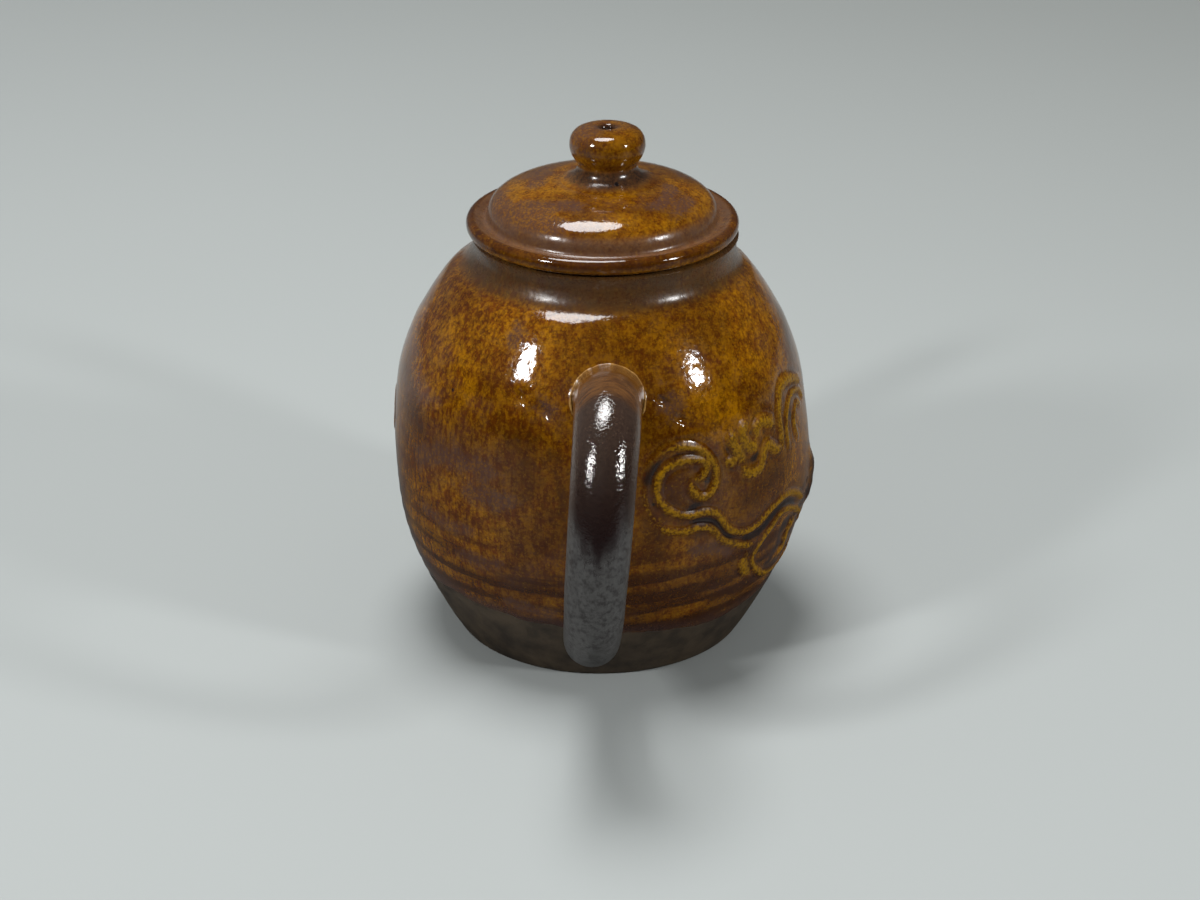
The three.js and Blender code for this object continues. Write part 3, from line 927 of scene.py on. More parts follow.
# Where thick glaze pools beside the relief, as strokes.
GLAZE_POOLS = [
    ([(12.6, 46.5), (12.7, 49), (14.4, 50.9), (16.8, 52.4)], 1.2),
    ([(25.2, 49.4), (26.6, 49.6)], 0.8),
    ([(29, 45.4), (29.8, 46.6), (30.4, 48)], 0.9),
    ([(22.8, 40.9), (26.4, 41.8), (28.4, 42)], 0.8),
    ([(24, 38.4), (28, 38.3), (31.6, 37.4), (34.2, 35.4), (36.4, 33.3), (40, 31.7)], 0.8),
    ([(41, 31.2), (46, 30.8), (50, 31), (54, 32.2), (60, 33.4), (66, 32.6), (72, 30.4)], 1.0),
    ([(36.4, 47.4), (38.6, 47.4)], 0.9),
    ([(40.4, 52.2), (41, 54.4)], 0.9),
    ([(36.2, 52.6), (36.8, 50.8)], 0.8),
    ([(43.8, 48), (46.4, 47.8), (48.6, 49)], 0.9),
    ([(45.2, 52.2), (45.6, 54.2)], 0.9),
    ([(50, 52.4), (52, 51.6)], 0.8),
    ([(53.2, 46.2), (54.6, 45.6)], 0.7),
    ([(69.2, 28.2), (64.8, 28.2), (62, 27), (62.4, 24), (60.4, 22.2), (58.4, 21), (55.6, 20.5)], 0.8),
    ([(66.4, 50), (66, 53)], 0.7),
    ([(86.4, 30), (84.6, 27)], 1.0),
]

# Purple-grey smudges on the wall, as strokes.
WALL_SMUDGES = [
    ([(-62, 44), (-46, 48), (-35, 48.5), (-28, 47)], 3.0),
    ([(-41, 43), (-30, 42.5), (-22, 42)], 2.6),
    ([(-58, 34), (-45, 33.5), (-36, 34)], 1.6),
    ([(-44, 28), (-35, 27.5), (-26, 28.5)], 1.5),
    ([(-33, 72.5), (-26, 74)], 2.6),
    ([(-16, 60), (-14, 64)], 3.4),
    ([(20, 60), (21, 65)], 3.4),
    ([(26, 69), (27, 71.5)], 1.5),
    ([(24, 32), (32, 31.5), (40, 28)], 1.6),
    ([(-30, 19.5), (-22, 18.4), (-12, 17.6)], 1.6),
    ([(86, 66), (80, 58)], 2.6),
    ([(108, 60), (124, 64), (138, 61)], 3.4),
    ([(150, 34), (166, 31), (178, 33)], 3.0),
    ([(-170, 60), (-150, 66), (-128, 63)], 3.4),
    ([(-118, 30), (-104, 34), (-92, 32)], 3.0),
]

# Where the glaze ran thick and dark, as strokes. The first, second, fifth and seventh strokes are painted
# shadow of the handle on the wall, beside and below its upper root.
WALL_SHADES = [
    ([(-13, 56), (-10, 45), (-9, 32)], 4.5),
    ([(-22, 60), (-20, 52), (-18, 42)], 5.0),
    ([(-80, 61), (-68, 56), (-56, 50)], 3.5),
    ([(92, 69), (80, 63), (68, 55)], 3.5),
    ([(14, 46), (15, 38), (16, 30)], 3.6),
    ([(36, 50.5), (44, 51)], 2.4),
    ([(14, 49), (22, 44), (28, 38), (30, 33)], 4.4),
    ([(40, 40), (52, 41), (62, 42)], 3.5),
    ([(150, 50), (166, 44), (176, 48)], 4.5),
    ([(-150, 46), (-130, 42), (-112, 46)], 4.5),
]

# Where the glaze ran thin and golden, as strokes.
WALL_GILT = [
    ([(-62, 70), (-48, 67), (-38, 58)], 4.5),
    ([(-36, 73), (-27, 74)], 2.4),
    ([(20, 73), (30, 69)], 2.4),
    ([(28, 67), (34, 60), (44, 55)], 3.4),
    ([(-74, 32), (-60, 25), (-46, 22)], 3.6),
    ([(120, 52), (140, 44), (160, 54)], 4.0),
    ([(-166, 44), (-150, 54), (-124, 52)], 4.5),
]

# The thumb's dents beside the handle's upper root, as strokes.
THUMB_DENTS = [
    ([(-24, 63), (-22.6, 64.2)], 1.3),
    ([(-17, 60.8), (-15.4, 62.4)], 1.8),
    ([(17.8, 62.4), (19, 63.8)], 1.5),
    ([(22.8, 58.6), (24, 60)], 1.5),
]

# Where the glaze ends above the foot, as (azimuth, height) pairs.
GLAZE_LINE = [
    (-180, 14), (-140, 13.6), (-100, 13), (-62, 15), (-50, 16.2), (-43, 16), (-32, 15.4), (-18, 14.8),
    (12, 13), (26, 12.2), (42, 11.2), (52, 12.2), (90, 13.6), (140, 12.6), (180, 14),
]


def three_groups(line: Line) -> list[Line]:
    """Repeats a line beside the spout, reflected, and on the side turned away."""
    front = [(2 * REPEAT_AZIMUTH - azimuth, height) for azimuth, height in line]
    return [line, front, [(-azimuth, height) for azimuth, height in front]]


@dataclass
class ThrownPot:
    """The thrown pot with its collar and the clay relief trailed on it.

    Heights, depths, widths and (radius, height) lines are in millimetres.
    """

    finishes: Finishes
    steps: int = 176
    spacing: float = 1.5
    full_height: float = 0.46
    relief_share: float = 0.76
    lump_share: float = 0.13
    groove_gap: float = 0.72
    groove_depth: float = 0.14
    pool_depth: float = 0.12
    dent_depth: float = 0.6
    crest_half_width: float = 2.0
    crest_height: float = 1.15
    bulge_height: float = 1.5
    bulge_centre: tuple = (90, 31)
    bulge_reach: tuple = (14, 13)
    lip_shift: float = 1.0
    lip_span: tuple = (75, 83)
    lip_top: float = 83.5
    haze_span: tuple = (76.8, 79.2)
    # From here up, the neck takes painted shade and reflection under the brim.
    roll_reach: float = 4.5
    channel_half_width: float = 0.5
    crowd_reach: float = 2.2
    root_centre: tuple = (1.45, 63.9)
    root_size: tuple = (7.0, 6.15)
    thread_half: float = 0.21
    thread_lift: float = 0.12
    strainer_height: float = 45
    strainer_reach: float = 40
    strainer_pitch: float = 4.3
    strainer_radius: float = 1.6
    outer: tuple = (
        (30.3, 0.5), (32.4, 4), (36.4, 12), (39.6, 20), (41.35, 28), (42, 38), (41.9, 46),
        (40.7, 56), (38, 64), (35.9, 68), (33.5, 72), (31.4, 75), (29.9, 76.7), (28.3, 77.6),
        (27.1, 79), (26.4, 81), (26.1, 82.8), (26.6, 83.9),
    )
    lip: tuple = ((26.2, 84.3), (24, 84.3), (21.9, 84.2))
    inside: tuple = (
        (21.4, 83.6), (21.5, 79), (24, 76), (30, 72), (34.4, 66), (37.2, 58), (38.4, 48), (38.4, 38),
        (37.4, 26), (34.6, 16), (30, 9), (22, 5.6), (10, 5), (0, 5),
    )
    under: tuple = ((0, 0), (12, 0), (22, 0), (29.4, 0), (30.1, 0.2))

    def __post_init__(self) -> None:
        """Lays the wall's line, the clay rolls and the strokes of glaze."""
        self.wall = smooth_line(self.outer, 0.1) * MM
        self.rolls = [
            Roll(flat_line(line), trail.half_width, trail.height, trail.run_out)
            for trail in CLOUD_TRAILS for line in three_groups(trail.line)
        ]
        self.rolls.append(Roll(flat_line(TAIL_LINE), 0.7, 0.24))
        self.rolls.append(Roll(self.root_bead(), 0.3, 0.16, run_out=0.1))
        self.crest = Roll(flat_line(CREST_LINE), self.crest_half_width, self.crest_height, run_out=4)
        pools = [(one, width) for line, width in GLAZE_POOLS for one in three_groups(line)]
        self.pools = lay_strokes(pools, 1.0)
        self.smudges = lay_strokes(WALL_SMUDGES, 0.95)
        # These strokes are thick glaze and painted shadow of the handle.
        self.shades = lay_strokes(WALL_SHADES, 0.85)
        self.gilt = lay_strokes(WALL_GILT, 1.0)
        self.dents = lay_strokes(THUMB_DENTS, 1.0, run_out=0.4)

    def wall_radius(self, height: np.ndarray) -> np.ndarray:
        """Gives the outer wall's radius at heights, both in metres."""
        return np.interp(height, self.wall[:, 1], self.wall[:, 0])

    def root_ring(self, turn: np.ndarray) -> tuple[np.ndarray, np.ndarray, np.ndarray]:
        """Lays a ring round the handle's upper root.

        Args:
            turn: the angles round the root, in radians.

        Returns:
            The ring's azimuths in radians, and its heights and the wall's radii in millimetres.
        """
        height = self.root_centre[1] + self.root_size[1] * np.sin(turn)
        radius = self.wall_radius(height * MM) / MM
        across = self.root_centre[0] + self.root_size[0] * np.cos(turn)
        return np.arcsin(across / radius), height, radius

    def root_bead(self) -> np.ndarray:
        """Lays the thin bead of slip round the handle's upper root on the wall's map."""
        azimuth, height, _ = self.root_ring(np.linspace(0, 2 * math.pi, 200))
        return np.stack([azimuth * MAP_RADIUS, height], axis=1)

    def slip_thread(self) -> None:
        """Rolls the glossy thread of slip that edges the handle's upper root."""
        azimuth, height, radius = self.root_ring(np.radians(np.linspace(-22, 202, 120)))
        flat = np.stack([azimuth * MAP_RADIUS, height], axis=1)
        radius = radius + self.root_lift(flat) + self.hand_wobble(flat) + self.thread_lift
        places = np.stack([-radius * np.cos(azimuth), -radius * np.sin(azimuth), height], axis=1) * MM
        stations = []
        for index, place in enumerate(places):
            ahead = places[min(index + 1, len(places) - 1)]
            tangent = Vector(ahead - places[max(index - 1, 0)]).normalized()
            out = Vector((-math.cos(azimuth[index]), -math.sin(azimuth[index]), 0))
            across = out.cross(tangent).normalized()
            uneven = 0.05 * math.sin(index / 4.1) + 0.04 * math.sin(index / 1.7)
            half = (self.thread_half + uneven) * MM
            stations.append(SweepStation(Vector(place), across, tangent.cross(across), half, half))
        thing = closed_bar("root_slip_thread", stations, 10)
        # The gilt value here brightens the thread as a painted highlight.
        set_attributes(thing, gilt=0.5, above_line=GLAZED_ABOVE)
        finish_piece(thing, Body.POT, Slot.HANDLE, self.finishes.thread, "handle")

    def build(self) -> None:
        """Throws the pot and raises its relief."""
        outline = np.vstack([
            self.under, smooth_line(self.outer, self.spacing), self.lip, smooth_line(self.inside, 2.6),
        ]) * MM
        thing = make_object("pot_skin", spin_profile(outline, self.steps))
        self.pierce_strainer(thing)
        self.refine(thing)
        self.raise_wall(thing)
        finish_piece(
            thing, Body.POT, Slot.POT, self.finishes.pot,
            "pot_floor", "body_wall", "shoulder_wall", "mouth_collar",
            *[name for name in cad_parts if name.startswith("relief_")],
        )

    def pierce_strainer(self, thing: Object) -> None:
        """Cuts seven round holes through the wall behind the spout.

        Args:
            thing: the thrown pot.
        """
        shape = bmesh.new()
        ring = np.arange(6) * math.pi / 3
        holes = [(0.0, 0.0)] + [(math.cos(turn), math.sin(turn)) for turn in ring]
        for y, z in holes:
            aside, up = self.strainer_pitch * y, self.strainer_height + self.strainer_pitch * z
            centre = (self.strainer_reach, aside, up)
            bmesh.ops.create_cone(
                shape, cap_ends=True, segments=24, radius1=self.strainer_radius * MM,
                radius2=self.strainer_radius * MM, depth=14 * MM,
                matrix=Matrix.Translation(Vector(centre) * MM) @ Matrix.Rotation(math.pi / 2, 4, "Y"),
            )
        cutter = make_object("strainer_cutter", shape, smooth=False)
        cut = thing.modifiers.new("strainer", "BOOLEAN")
        cut.object = cutter
        cut.solver = "EXACT"
        graph = bpy.context.evaluated_depsgraph_get()
        pierced = bpy.data.meshes.new_from_object(thing.evaluated_get(graph))
        thing.modifiers.clear()
        thing.data = pierced
        bpy.data.objects.remove(cutter)

    def map_of(self, places: np.ndarray) -> np.ndarray:
        """Unrolls places in metres on to the wall's flat map in millimetres."""
        azimuth = np.arctan2(-places[:, 1], -places[:, 0])
        return np.stack([azimuth * MAP_RADIUS, places[:, 2] / MM], axis=1)

    def on_outside(self, places: np.ndarray) -> np.ndarray:
        """Tells which places lie on the outer wall."""
        radius = np.hypot(places[:, 0], places[:, 1])
        return (radius > self.wall_radius(places[:, 2]) - 1 * MM) & (places[:, 2] > 1 * MM)

    def refine(self, thing: Object) -> None:
        """Cuts the wall's faces finer near the relief, in two rounds.

        Args:
            thing: the thrown pot.
        """
        shape = bmesh.new()
        shape.from_mesh(thing.data)
        for reach, cuts in ((3.2, 2), (1.6, 1)):
            places = np.array([vert.co for vert in shape.verts])
            gap = np.full(len(places), np.inf)
            flat = self.map_of(places)
            for roll in self.rolls + self.dents + [self.crest]:
                inside, distance, _ = roll.nearest(flat, 6)
                gap[inside] = np.minimum(gap[inside], distance - max(0.0, roll.half_width - 0.7))
            near = (gap < reach) & self.on_outside(places)
            edges = [edge for edge in shape.edges if all(near[vert.index] for vert in edge.verts)]
            bmesh.ops.subdivide_edges(shape, edges=edges, cuts=cuts, use_grid_fill=True)
            bmesh.ops.triangulate(shape, faces=[face for face in shape.faces if len(face.verts) > 4])
            shape.verts.index_update()
        for face in shape.faces:
            face.smooth = True
        shape.to_mesh(thing.data)
        shape.free()
        thing.data.set_sharp_from_angle(angle=math.radians(50))

    def hand_wobble(self, flat: np.ndarray) -> np.ndarray:
        """Gives the slight unevenness of a hand-thrown wall.

        Args:
            flat: the wall's places on its flat map.

        Returns:
            How far the wall stands out at each place, in millimetres.
        """
        turn = flat[:, 0] / MAP_RADIUS
        height = flat[:, 1]
        slow = 0.1 * np.sin(2 * turn + 0.7) * np.sin(height / 19 + 1.1)
        slow += 0.07 * np.sin(3 * turn - 1.9 + height / 23)
        slow += 0.05 * np.sin(5 * turn + 2.1 - height / 15)
        rings = 0.06 * np.sin(height * 2 * math.pi / 2.9 + 0.4 * np.sin(turn))
        rings *= ease(8, 12, height) * ease(38, 26, height)
        return slow * ease(2, 14, height) * ease(80, 70, height) + rings

    def root_lift(self, flat: np.ndarray) -> np.ndarray:
        """Gives the smeared clay and the thumb's dents round the handle's upper root.

        Args:
            flat: the wall's places on its flat map.

        Returns:
            How far the wall stands out at each place, in millimetres.
        """
        side, height = self.root_centre
        wide, tall = self.root_size
        across = self.wall_radius(flat[:, 1] * MM) / MM * np.sin(flat[:, 0] / MAP_RADIUS) - side
        up = flat[:, 1] - height
        beyond = (np.hypot(across / wide, up / tall) - 1) * tall
        lift = 0.4 * hump(np.maximum(beyond, 0), 1.9) * ease(3.5, -1, up)
        lift *= np.abs(flat[:, 0]) < 30
        return lift - self.dent_depth * painted(flat, self.dents)

    def bulge(self, flat: np.ndarray) -> np.ndarray:
        """Swells the wall at the crest of the waves.

        Args:
            flat: the wall's places on its flat map.

        Returns:
            How far the wall stands out at each place, in millimetres.
        """
        azimuth, height = self.bulge_centre
        wide, tall = self.bulge_reach
        side = (flat[:, 0] / MAP_RADIUS - math.radians(azimuth)) / math.radians(wide)
        return self.bulge_height * np.exp(-(side**2)) * hump(flat[:, 1] - height, tall)

    def lay_rolls(self, flat: np.ndarray) -> tuple[np.ndarray, np.ndarray, np.ndarray, np.ndarray]:
        """Presses the clay rolls on the wall.

        Args:
            flat: the wall's places on its flat map.

        Returns:
            At each place, the relief's height in millimetres, and how much it is a ridge, a
            groove beside one and a gap crowded by several, from 0 to 1.
        """
        relief, ridge, groove, crowd = np.zeros((4, len(flat)))
        for roll in self.rolls:
            inside, distance, full = roll.nearest(flat, self.roll_reach)
            crown = full * hump(distance, roll.half_width * (0.6 + 0.4 * full))
            fullness = min(1, roll.strength / self.full_height)
            beside = distance - roll.half_width - self.groove_gap
            channel = full * hump(beside, self.channel_half_width) * fullness
            relief[inside] = np.maximum(relief[inside], roll.strength * crown)
            ridge[inside] = np.maximum(ridge[inside], fullness**1.5 * crown)
            groove[inside] = np.maximum(groove[inside], channel)
            crowd[inside] += full * fullness * hump(distance, self.crowd_reach)
        lumps = np.sin(5.3 * flat[:, 0] + 1.7 * np.sin(3.1 * flat[:, 1])) * np.sin(4.7 * flat[:, 1] + 0.6)
        relief *= self.relief_share * (1 + self.lump_share * lumps)
        return relief, ridge, groove * (1 - ridge), np.clip(crowd - 1, 0, 1)

    def raise_wall(self, thing: Object) -> None:
        """Moves the wall out along the clay rolls and marks ridges, pools and the glaze line.

        Args:
            thing: the thrown pot, already refined.
        """
        places = vertex_places(thing)
        flat = self.map_of(places)
        turn, height = flat[:, 0] / MAP_RADIUS, flat[:, 1]
        outside = self.on_outside(places) & (places[:, 2] < self.lip_top * MM)
        relief, ridge, groove, crowded = self.lay_rolls(flat)
        inside, distance, full = self.crest.nearest(flat, 6)
        boss = np.zeros(len(places))
        boss[inside] = full * hump(distance, self.crest.half_width)
        pools = painted(flat, self.pools)
        lift = relief - self.groove_depth * groove + self.crest.strength * boss
        lift -= self.pool_depth * pools * (1 - ridge)
        lift += self.bulge(flat)
        lift += self.hand_wobble(flat) + self.root_lift(flat)
        lift *= outside * ease(0.5, 4, height)
        radius = np.hypot(places[:, 0], places[:, 1])
        grown = 1 + np.where(outside, lift * MM / np.maximum(radius, 1 * MM), 0)
        places[:, :2] *= grown[:, None]
        low, high = self.lip_span
        places[:, 1] -= self.lip_shift * MM * ease(low * MM, high * MM, places[:, 2])
        place_vertices(thing, places)
        pool = np.maximum(groove * (0.3 + 0.6 * crowded), pools * (1 - ridge))
        line = np.array(GLAZE_LINE)
        above = height - np.interp(np.degrees(turn), line[:, 0], line[:, 1])
        set_attributes(
            thing,
            ridge=ridge * outside * (1 - boss),
            pool=np.maximum(pool, 0.75 * boss) * outside,
            haze=ease(*self.haze_span, height),
            dusk=painted(flat, self.smudges) * outside,
            thick=painted(flat, self.shades) * outside,
            gilt=painted(flat, self.gilt) * outside,
            streaky=0.35 + 0.65 * ease(0.1, -0.9, np.sin(turn)),
            above_line=np.where(outside | (height < 3), above * MM, GLAZED_ABOVE),
        )


@dataclass
class LoopHandle:
    """The pulled handle, an oval loop with thumbed roots, in millimetres."""

    finishes: Finishes
    top_width: float = 13.4
    foot_width: float = 9.4
    top_thickness: float = 12.0
    foot_thickness: float = 9.6
    flare: float = 0.07
    flare_reach: float = 7
    spacing: float = 0.8
    path: tuple = (
        (-33, -1.5, 62.7), (-40.1, -1.5, 65.5), (-47.2, -1.5, 68.2), (-54.3, -1.5, 70.9),
        (-61.9, -1.4, 73.7), (-69.6, -1.2, 72), (-75.1, -0.7, 66.7), (-78.1, -0.2, 59.7),
        (-79.3, 0.3, 52.2), (-78.3, 0.8, 44.7), (-75.5, 1.1, 37.6), (-70.7, 1.4, 31.7),
        (-64.6, 1.5, 27.3), (-57.6, 1.5, 24.3), (-50.3, 1.5, 22.2), (-42.9, 1.5, 20.3),
        (-35.5, 1.5, 18.3),
    )

    def build(self) -> None:
        """Pulls the handle."""
        path = smooth_line(self.path, self.spacing) * MM
        length = np.linalg.norm(np.diff(path, axis=0), axis=1).sum() / MM

        def tapered(top: float, foot: float) -> Profile:
            """Makes a size that tapers along the handle and swells at its roots.

            Args:
                top, foot: the size at either end, in millimetres.

            Returns:
                A function that gives half the size, in metres, at a share of the path.
            """
            def half(share: float) -> float:
                """Half the size at a share of the path."""
                swell = 1 + self.flare * hump(min(share, 1 - share) * length, self.flare_reach)
                return 0.5 * MM * (top + (foot - top) * share) * swell
            return half

        width = tapered(self.top_width, self.foot_width)
        stations = path_stations(path, width, tapered(self.top_thickness, self.foot_thickness))
        thing = closed_bar("handle_loop", stations, 56)
        self.mark_length(thing, stations)
        finish_piece(thing, Body.POT, Slot.HANDLE, self.finishes.handle, "handle")

    def mark_length(self, thing: Object, stations: list[SweepStation]) -> None:
        """Stores how far along the handle and how far across it each vertex lies, in metres.

        Args:
            thing: the handle.
            stations: the stations it was swept through.
        """
        places = vertex_places(thing)
        centres = np.array([station.centre for station in stations])
        sides = np.array([station.side for station in stations])
        nearest = np.linalg.norm(places[:, None] - centres[None], axis=2).argmin(axis=1)
        across = ((places - centres[nearest]) * sides[nearest]).sum(axis=1)
        set_attributes(thing, along=nearest * self.spacing * MM, across=across)


@dataclass
class CurvedSpout:
    """The spout, a curved tube with a rounded lip and a flared root, in millimetres."""

    finishes: Finishes
    path: tuple = ((36.5, 0, 43), (46, 0, 47.5), (53, 0, 57.6), (56.4, 0, 67.7), (58.7, 0, 76.5))
    length: float = 48
    root: float = 20
    tip: float = 12.2
    root_bore: float = 14
    tip_bore: float = 8.4
    taper: float = 1.4
    flare: float = 0.3
    flare_reach: float = 6
    level_after: float = 0.8

    def stations(self, path: np.ndarray, root: float, tip: float, flare: float) -> list[SweepStation]:
        """Places rings along a path, whose planes turn level towards the tip.

        Args:
            path: the path's points in metres.
            root, tip: the diameters at its two ends, in millimetres.
            flare: how much wider it is at the very root, as a share.

        Returns:
            One station for each point.
        """
        def half(share: float) -> float:
            """Half the size at a share of the length."""
            size = tip + (root - tip) * (1 - share) ** self.taper
            return 0.5 * MM * size * (1 + flare * hump(share * self.length, self.flare_reach))

        placed = path_stations(path, half, half)
        for index, station in enumerate(placed):
            turn = float(ease(self.level_after, 1, index / (len(placed) - 1)))
            station.up = station.up.lerp(Vector((-1, 0, 0)), turn).normalized()
        return placed

    def build(self) -> None:
        """Makes the tube, outside then round the lip and down the bore."""
        path = smooth_line(self.path, 0.8) * MM
        outside = self.stations(path, self.root, self.tip, self.flare)
        inside = self.stations(path, self.root_bore, self.tip_bore, 0)
        end = outside[-1]
        wall = (self.tip - self.tip_bore) / 2 * MM
        rim = []
        for share in (0.2, 0.4, 0.6, 0.8, 1):
            angle = share * math.pi
            half = self.tip / 2 * MM - wall / 2 * (1 - math.cos(angle))
            rise = Vector((0, 0, wall / 2 * math.sin(angle)))
            rim.append(SweepStation(end.centre + rise, end.side, end.up, half, half))
        shape = bmesh.new()
        first, last = sweep_rings(shape, outside + rim + inside[-2::-1], 48)
        bmesh.ops.bridge_loops(shape, edges=ring_edges(shape, first) + ring_edges(shape, last))
        bmesh.ops.recalc_face_normals(shape, faces=shape.faces)
        thing = make_object("spout_tube", shape)
        set_attributes(thing, above_line=GLAZED_ABOVE)
        finish_piece(thing, Body.POT, Slot.POT, self.finishes.pot, "spout")


# Purple streaks that curl round the dome, as strokes of (azimuth, radius) pairs.
DOME_STREAKS = [
    ([(-66, 19), (-46, 17.4), (-28, 15), (-14, 14)], 2.1),
    ([(34, 16.4), (58, 15), (84, 13)], 1.6),
    ([(-96, 21), (-74, 21.2), (-52, 21), (-34, 20.6), (-18, 20.8)], 2.2),
    ([(-120, 11), (-96, 13), (-74, 13.4)], 2.0),
    ([(46, 19), (60, 18.2), (74, 18.6)], 1.7),
    ([(-100, 16), (-124, 14), (-146, 15), (-170, 17)], 2.2),
    ([(104, 17), (128, 19), (150, 17.6)], 2.2),
]

# A darker brown drift across the front of the dome, laid like the streaks.
DOME_SHADES = [([(-18, 14), (-4, 14.2), (14, 15.6), (30, 16.6), (44, 16)], 2.0)]


@dataclass
class DomedLid:
    """The lid: brim, moat and dome in one, with a flange below and a knob above, in millimetres."""

    finishes: Finishes
    shift: float = 0.5
    knob_shift: float = 0.95
    steps: int = 192
    knob_steps: int = 96
    dome_radius: float = 22.9
    dome_base: float = 87.4
    dome_top: float = 95.2
    dome_fullness: float = 0.763
    neck_radius: float = 8.0
    top_side: float = 86
    brim: tuple = (
        (17.4, 84.6), (25.2, 84.6), (26.3, 84.75), (26.9, 85.3), (27.1, 86.2), (27, 86.9),
        (26.6, 87.5), (25.9, 87.8), (25.2, 87.7), (24.4, 87.35), (23.7, 87.2), (23.15, 87.3),
    )
    hollow: tuple = ((0, 91.8), (7, 91.6), (12, 90.6), (15.6, 88.8), (17.2, 86.6), (17.4, 84.6))
    ring: tuple = (
        (17.4, 84.7), (17.4, 78.6), (17.9, 77.6), (18.8, 77.3), (19.7, 77.6), (20.2, 78.6), (20.2, 84.7),
    )
    knob: tuple = (
        (10.4, 94.6), (8.4, 95.35), (6.9, 96.2), (6.1, 97.3), (5.9, 98.2), (6.05, 98.75), (6.7, 99.7),
        (7.25, 100.8), (7.5, 102.2), (7.25, 103.7), (6.4, 104.9), (4.9, 105.6), (3, 105.9), (1.6, 105.7),
    )
    vent: tuple = ((1.3, 105.2), (1.3, 94.6))

    def turned(self, name: str, outline: np.ndarray, steps: int, shift: float) -> Object:
        """Turns an outline in millimetres round an axis shifted towards -Y."""
        return make_object(name, spin_profile(outline * MM, steps, Vector((0, -shift * MM, 0))))

    def round_axis(self, places: np.ndarray, shift: float) -> tuple[np.ndarray, np.ndarray, np.ndarray]:
        """Measures places round an axis shifted towards -Y.

        Args:
            places: the places in metres, one to a row.
            shift: how far the axis is shifted, in millimetres.

        Returns:
            Their azimuths in radians, and their radii and heights in millimetres.
        """
        across = places[:, 1] + shift * MM
        radius = np.hypot(places[:, 0], across) / MM
        return np.arctan2(-across, -places[:, 0]), radius, places[:, 2] / MM

    def dome_line(self) -> list[tuple[float, float]]:
        """Works out the dome's line from its foot up to the knob's stem.

        Returns:
            Its (radius, height) pairs in millimetres.
        """
        line = []
        for turn in np.linspace(0.04, 1, 26) * math.pi / 2:
            radius = self.dome_radius * math.cos(turn) ** self.dome_fullness
            height = self.dome_base + (self.dome_top - self.dome_base) * math.sin(turn) ** self.dome_fullness
            if radius > self.neck_radius:
                line.append((radius, height))
        return line

    def build(self) -> None:
        """Makes the lid's three pieces."""
        self.cover()
        self.flange()
        self.knob_ball()

    def cover(self) -> None:
        """Turns the brim, the moat and the dome."""
        crown = [(self.neck_radius, self.dome_top - 0.15), (0, self.dome_top)]
        upper = smooth_line([*self.brim, *self.dome_line()], 0.6)
        outline = np.vstack([smooth_line(self.hollow, 1.4)[:-1], upper, crown])
        thing = self.turned("lid_dome", outline, self.steps, self.shift)
        places = vertex_places(thing)
        azimuth, radius, height = self.round_axis(places, self.shift)
        above = height > self.top_side
        moat = ease(21.6, 22.7, radius) * ease(25.9, 25.1, radius) * above
        neck = ease(10.6, 7.6, radius) * above
        brim = ease(25, 25.8, radius) * above
        dome_map = np.stack([azimuth * DOME_MAP_RADIUS, radius], axis=1)
        streaks = painted(dome_map, lay_strokes(DOME_STREAKS, 1.5, DOME_MAP_RADIUS))
        shade = painted(dome_map, lay_strokes(DOME_SHADES, 1.0, DOME_MAP_RADIUS)) * above
        # Painted shade: dark under the brim and round the knob's stem, with painted shade and reflection in
        # the moat.
        set_attributes(
            thing,
            haze=np.maximum(0.85 * moat, 0.5 * neck),
            pool=np.maximum(0.25 * neck, 0.8 * ease(85.2, 84.9, height)),
            thick=np.maximum(np.maximum(0.95 * brim, 0.15 * moat), 0.6 * shade),
            dusk=0.8 * streaks * above,
            above_line=GLAZED_ABOVE,
        )
        places[:, 2] += 0.06 * np.sin(3 * azimuth + 0.4) * ease(24, 26.5, radius) * MM * above
        place_vertices(thing, places)
        finish_piece(thing, Body.LID, Slot.LID, self.finishes.lid, "lid_cover")

    def flange(self) -> None:
        """Turns the ring that hangs in the mouth."""
        thing = self.turned("lid_flange_ring", np.array(self.ring), self.steps, self.shift)
        finish_piece(thing, Body.LID, Slot.CLAY, self.finishes.clay, "lid_flange")

    def knob_ball(self) -> None:
        """Turns the stem and the flattened ball, with the vent down its middle."""
        shift = self.shift + self.knob_shift
        outline = np.vstack([smooth_line(self.knob, 0.45), self.vent])
        thing = self.turned("lid_knob_ball", outline, self.knob_steps, shift)
        turn, radius, height = self.round_axis(vertex_places(thing), shift)
        # Painted shade darkens the stem under the ball and the mouth of the vent.
        stem = ease(99, 97.6, height) * ease(9.6, 7, radius)
        hole = hump(radius, 2.1) * (height > 104)
        cheek = ease(100, 102.4, height) * ease(0.2, -0.8, turn) * ease(-2.4, -1.6, turn)
        set_attributes(
            thing, haze=0.6 * stem, pool=np.maximum(hole, 0.5 * stem), dusk=0.7 * cheek,
            above_line=GLAZED_ABOVE,
        )
        finish_piece(thing, Body.LID, Slot.LID, self.finishes.lid, "lid_knob")


@dataclass(frozen=True)
class Lamp:
    """A soft box that faces the pot.

    It hangs in a direction seen from the pot, at a reach in metres. Its size is its width and
    height in metres, and its power is in watts.
    """

    name: str
    shape: str
    direction: tuple
    reach: float
    size: tuple
    power: float


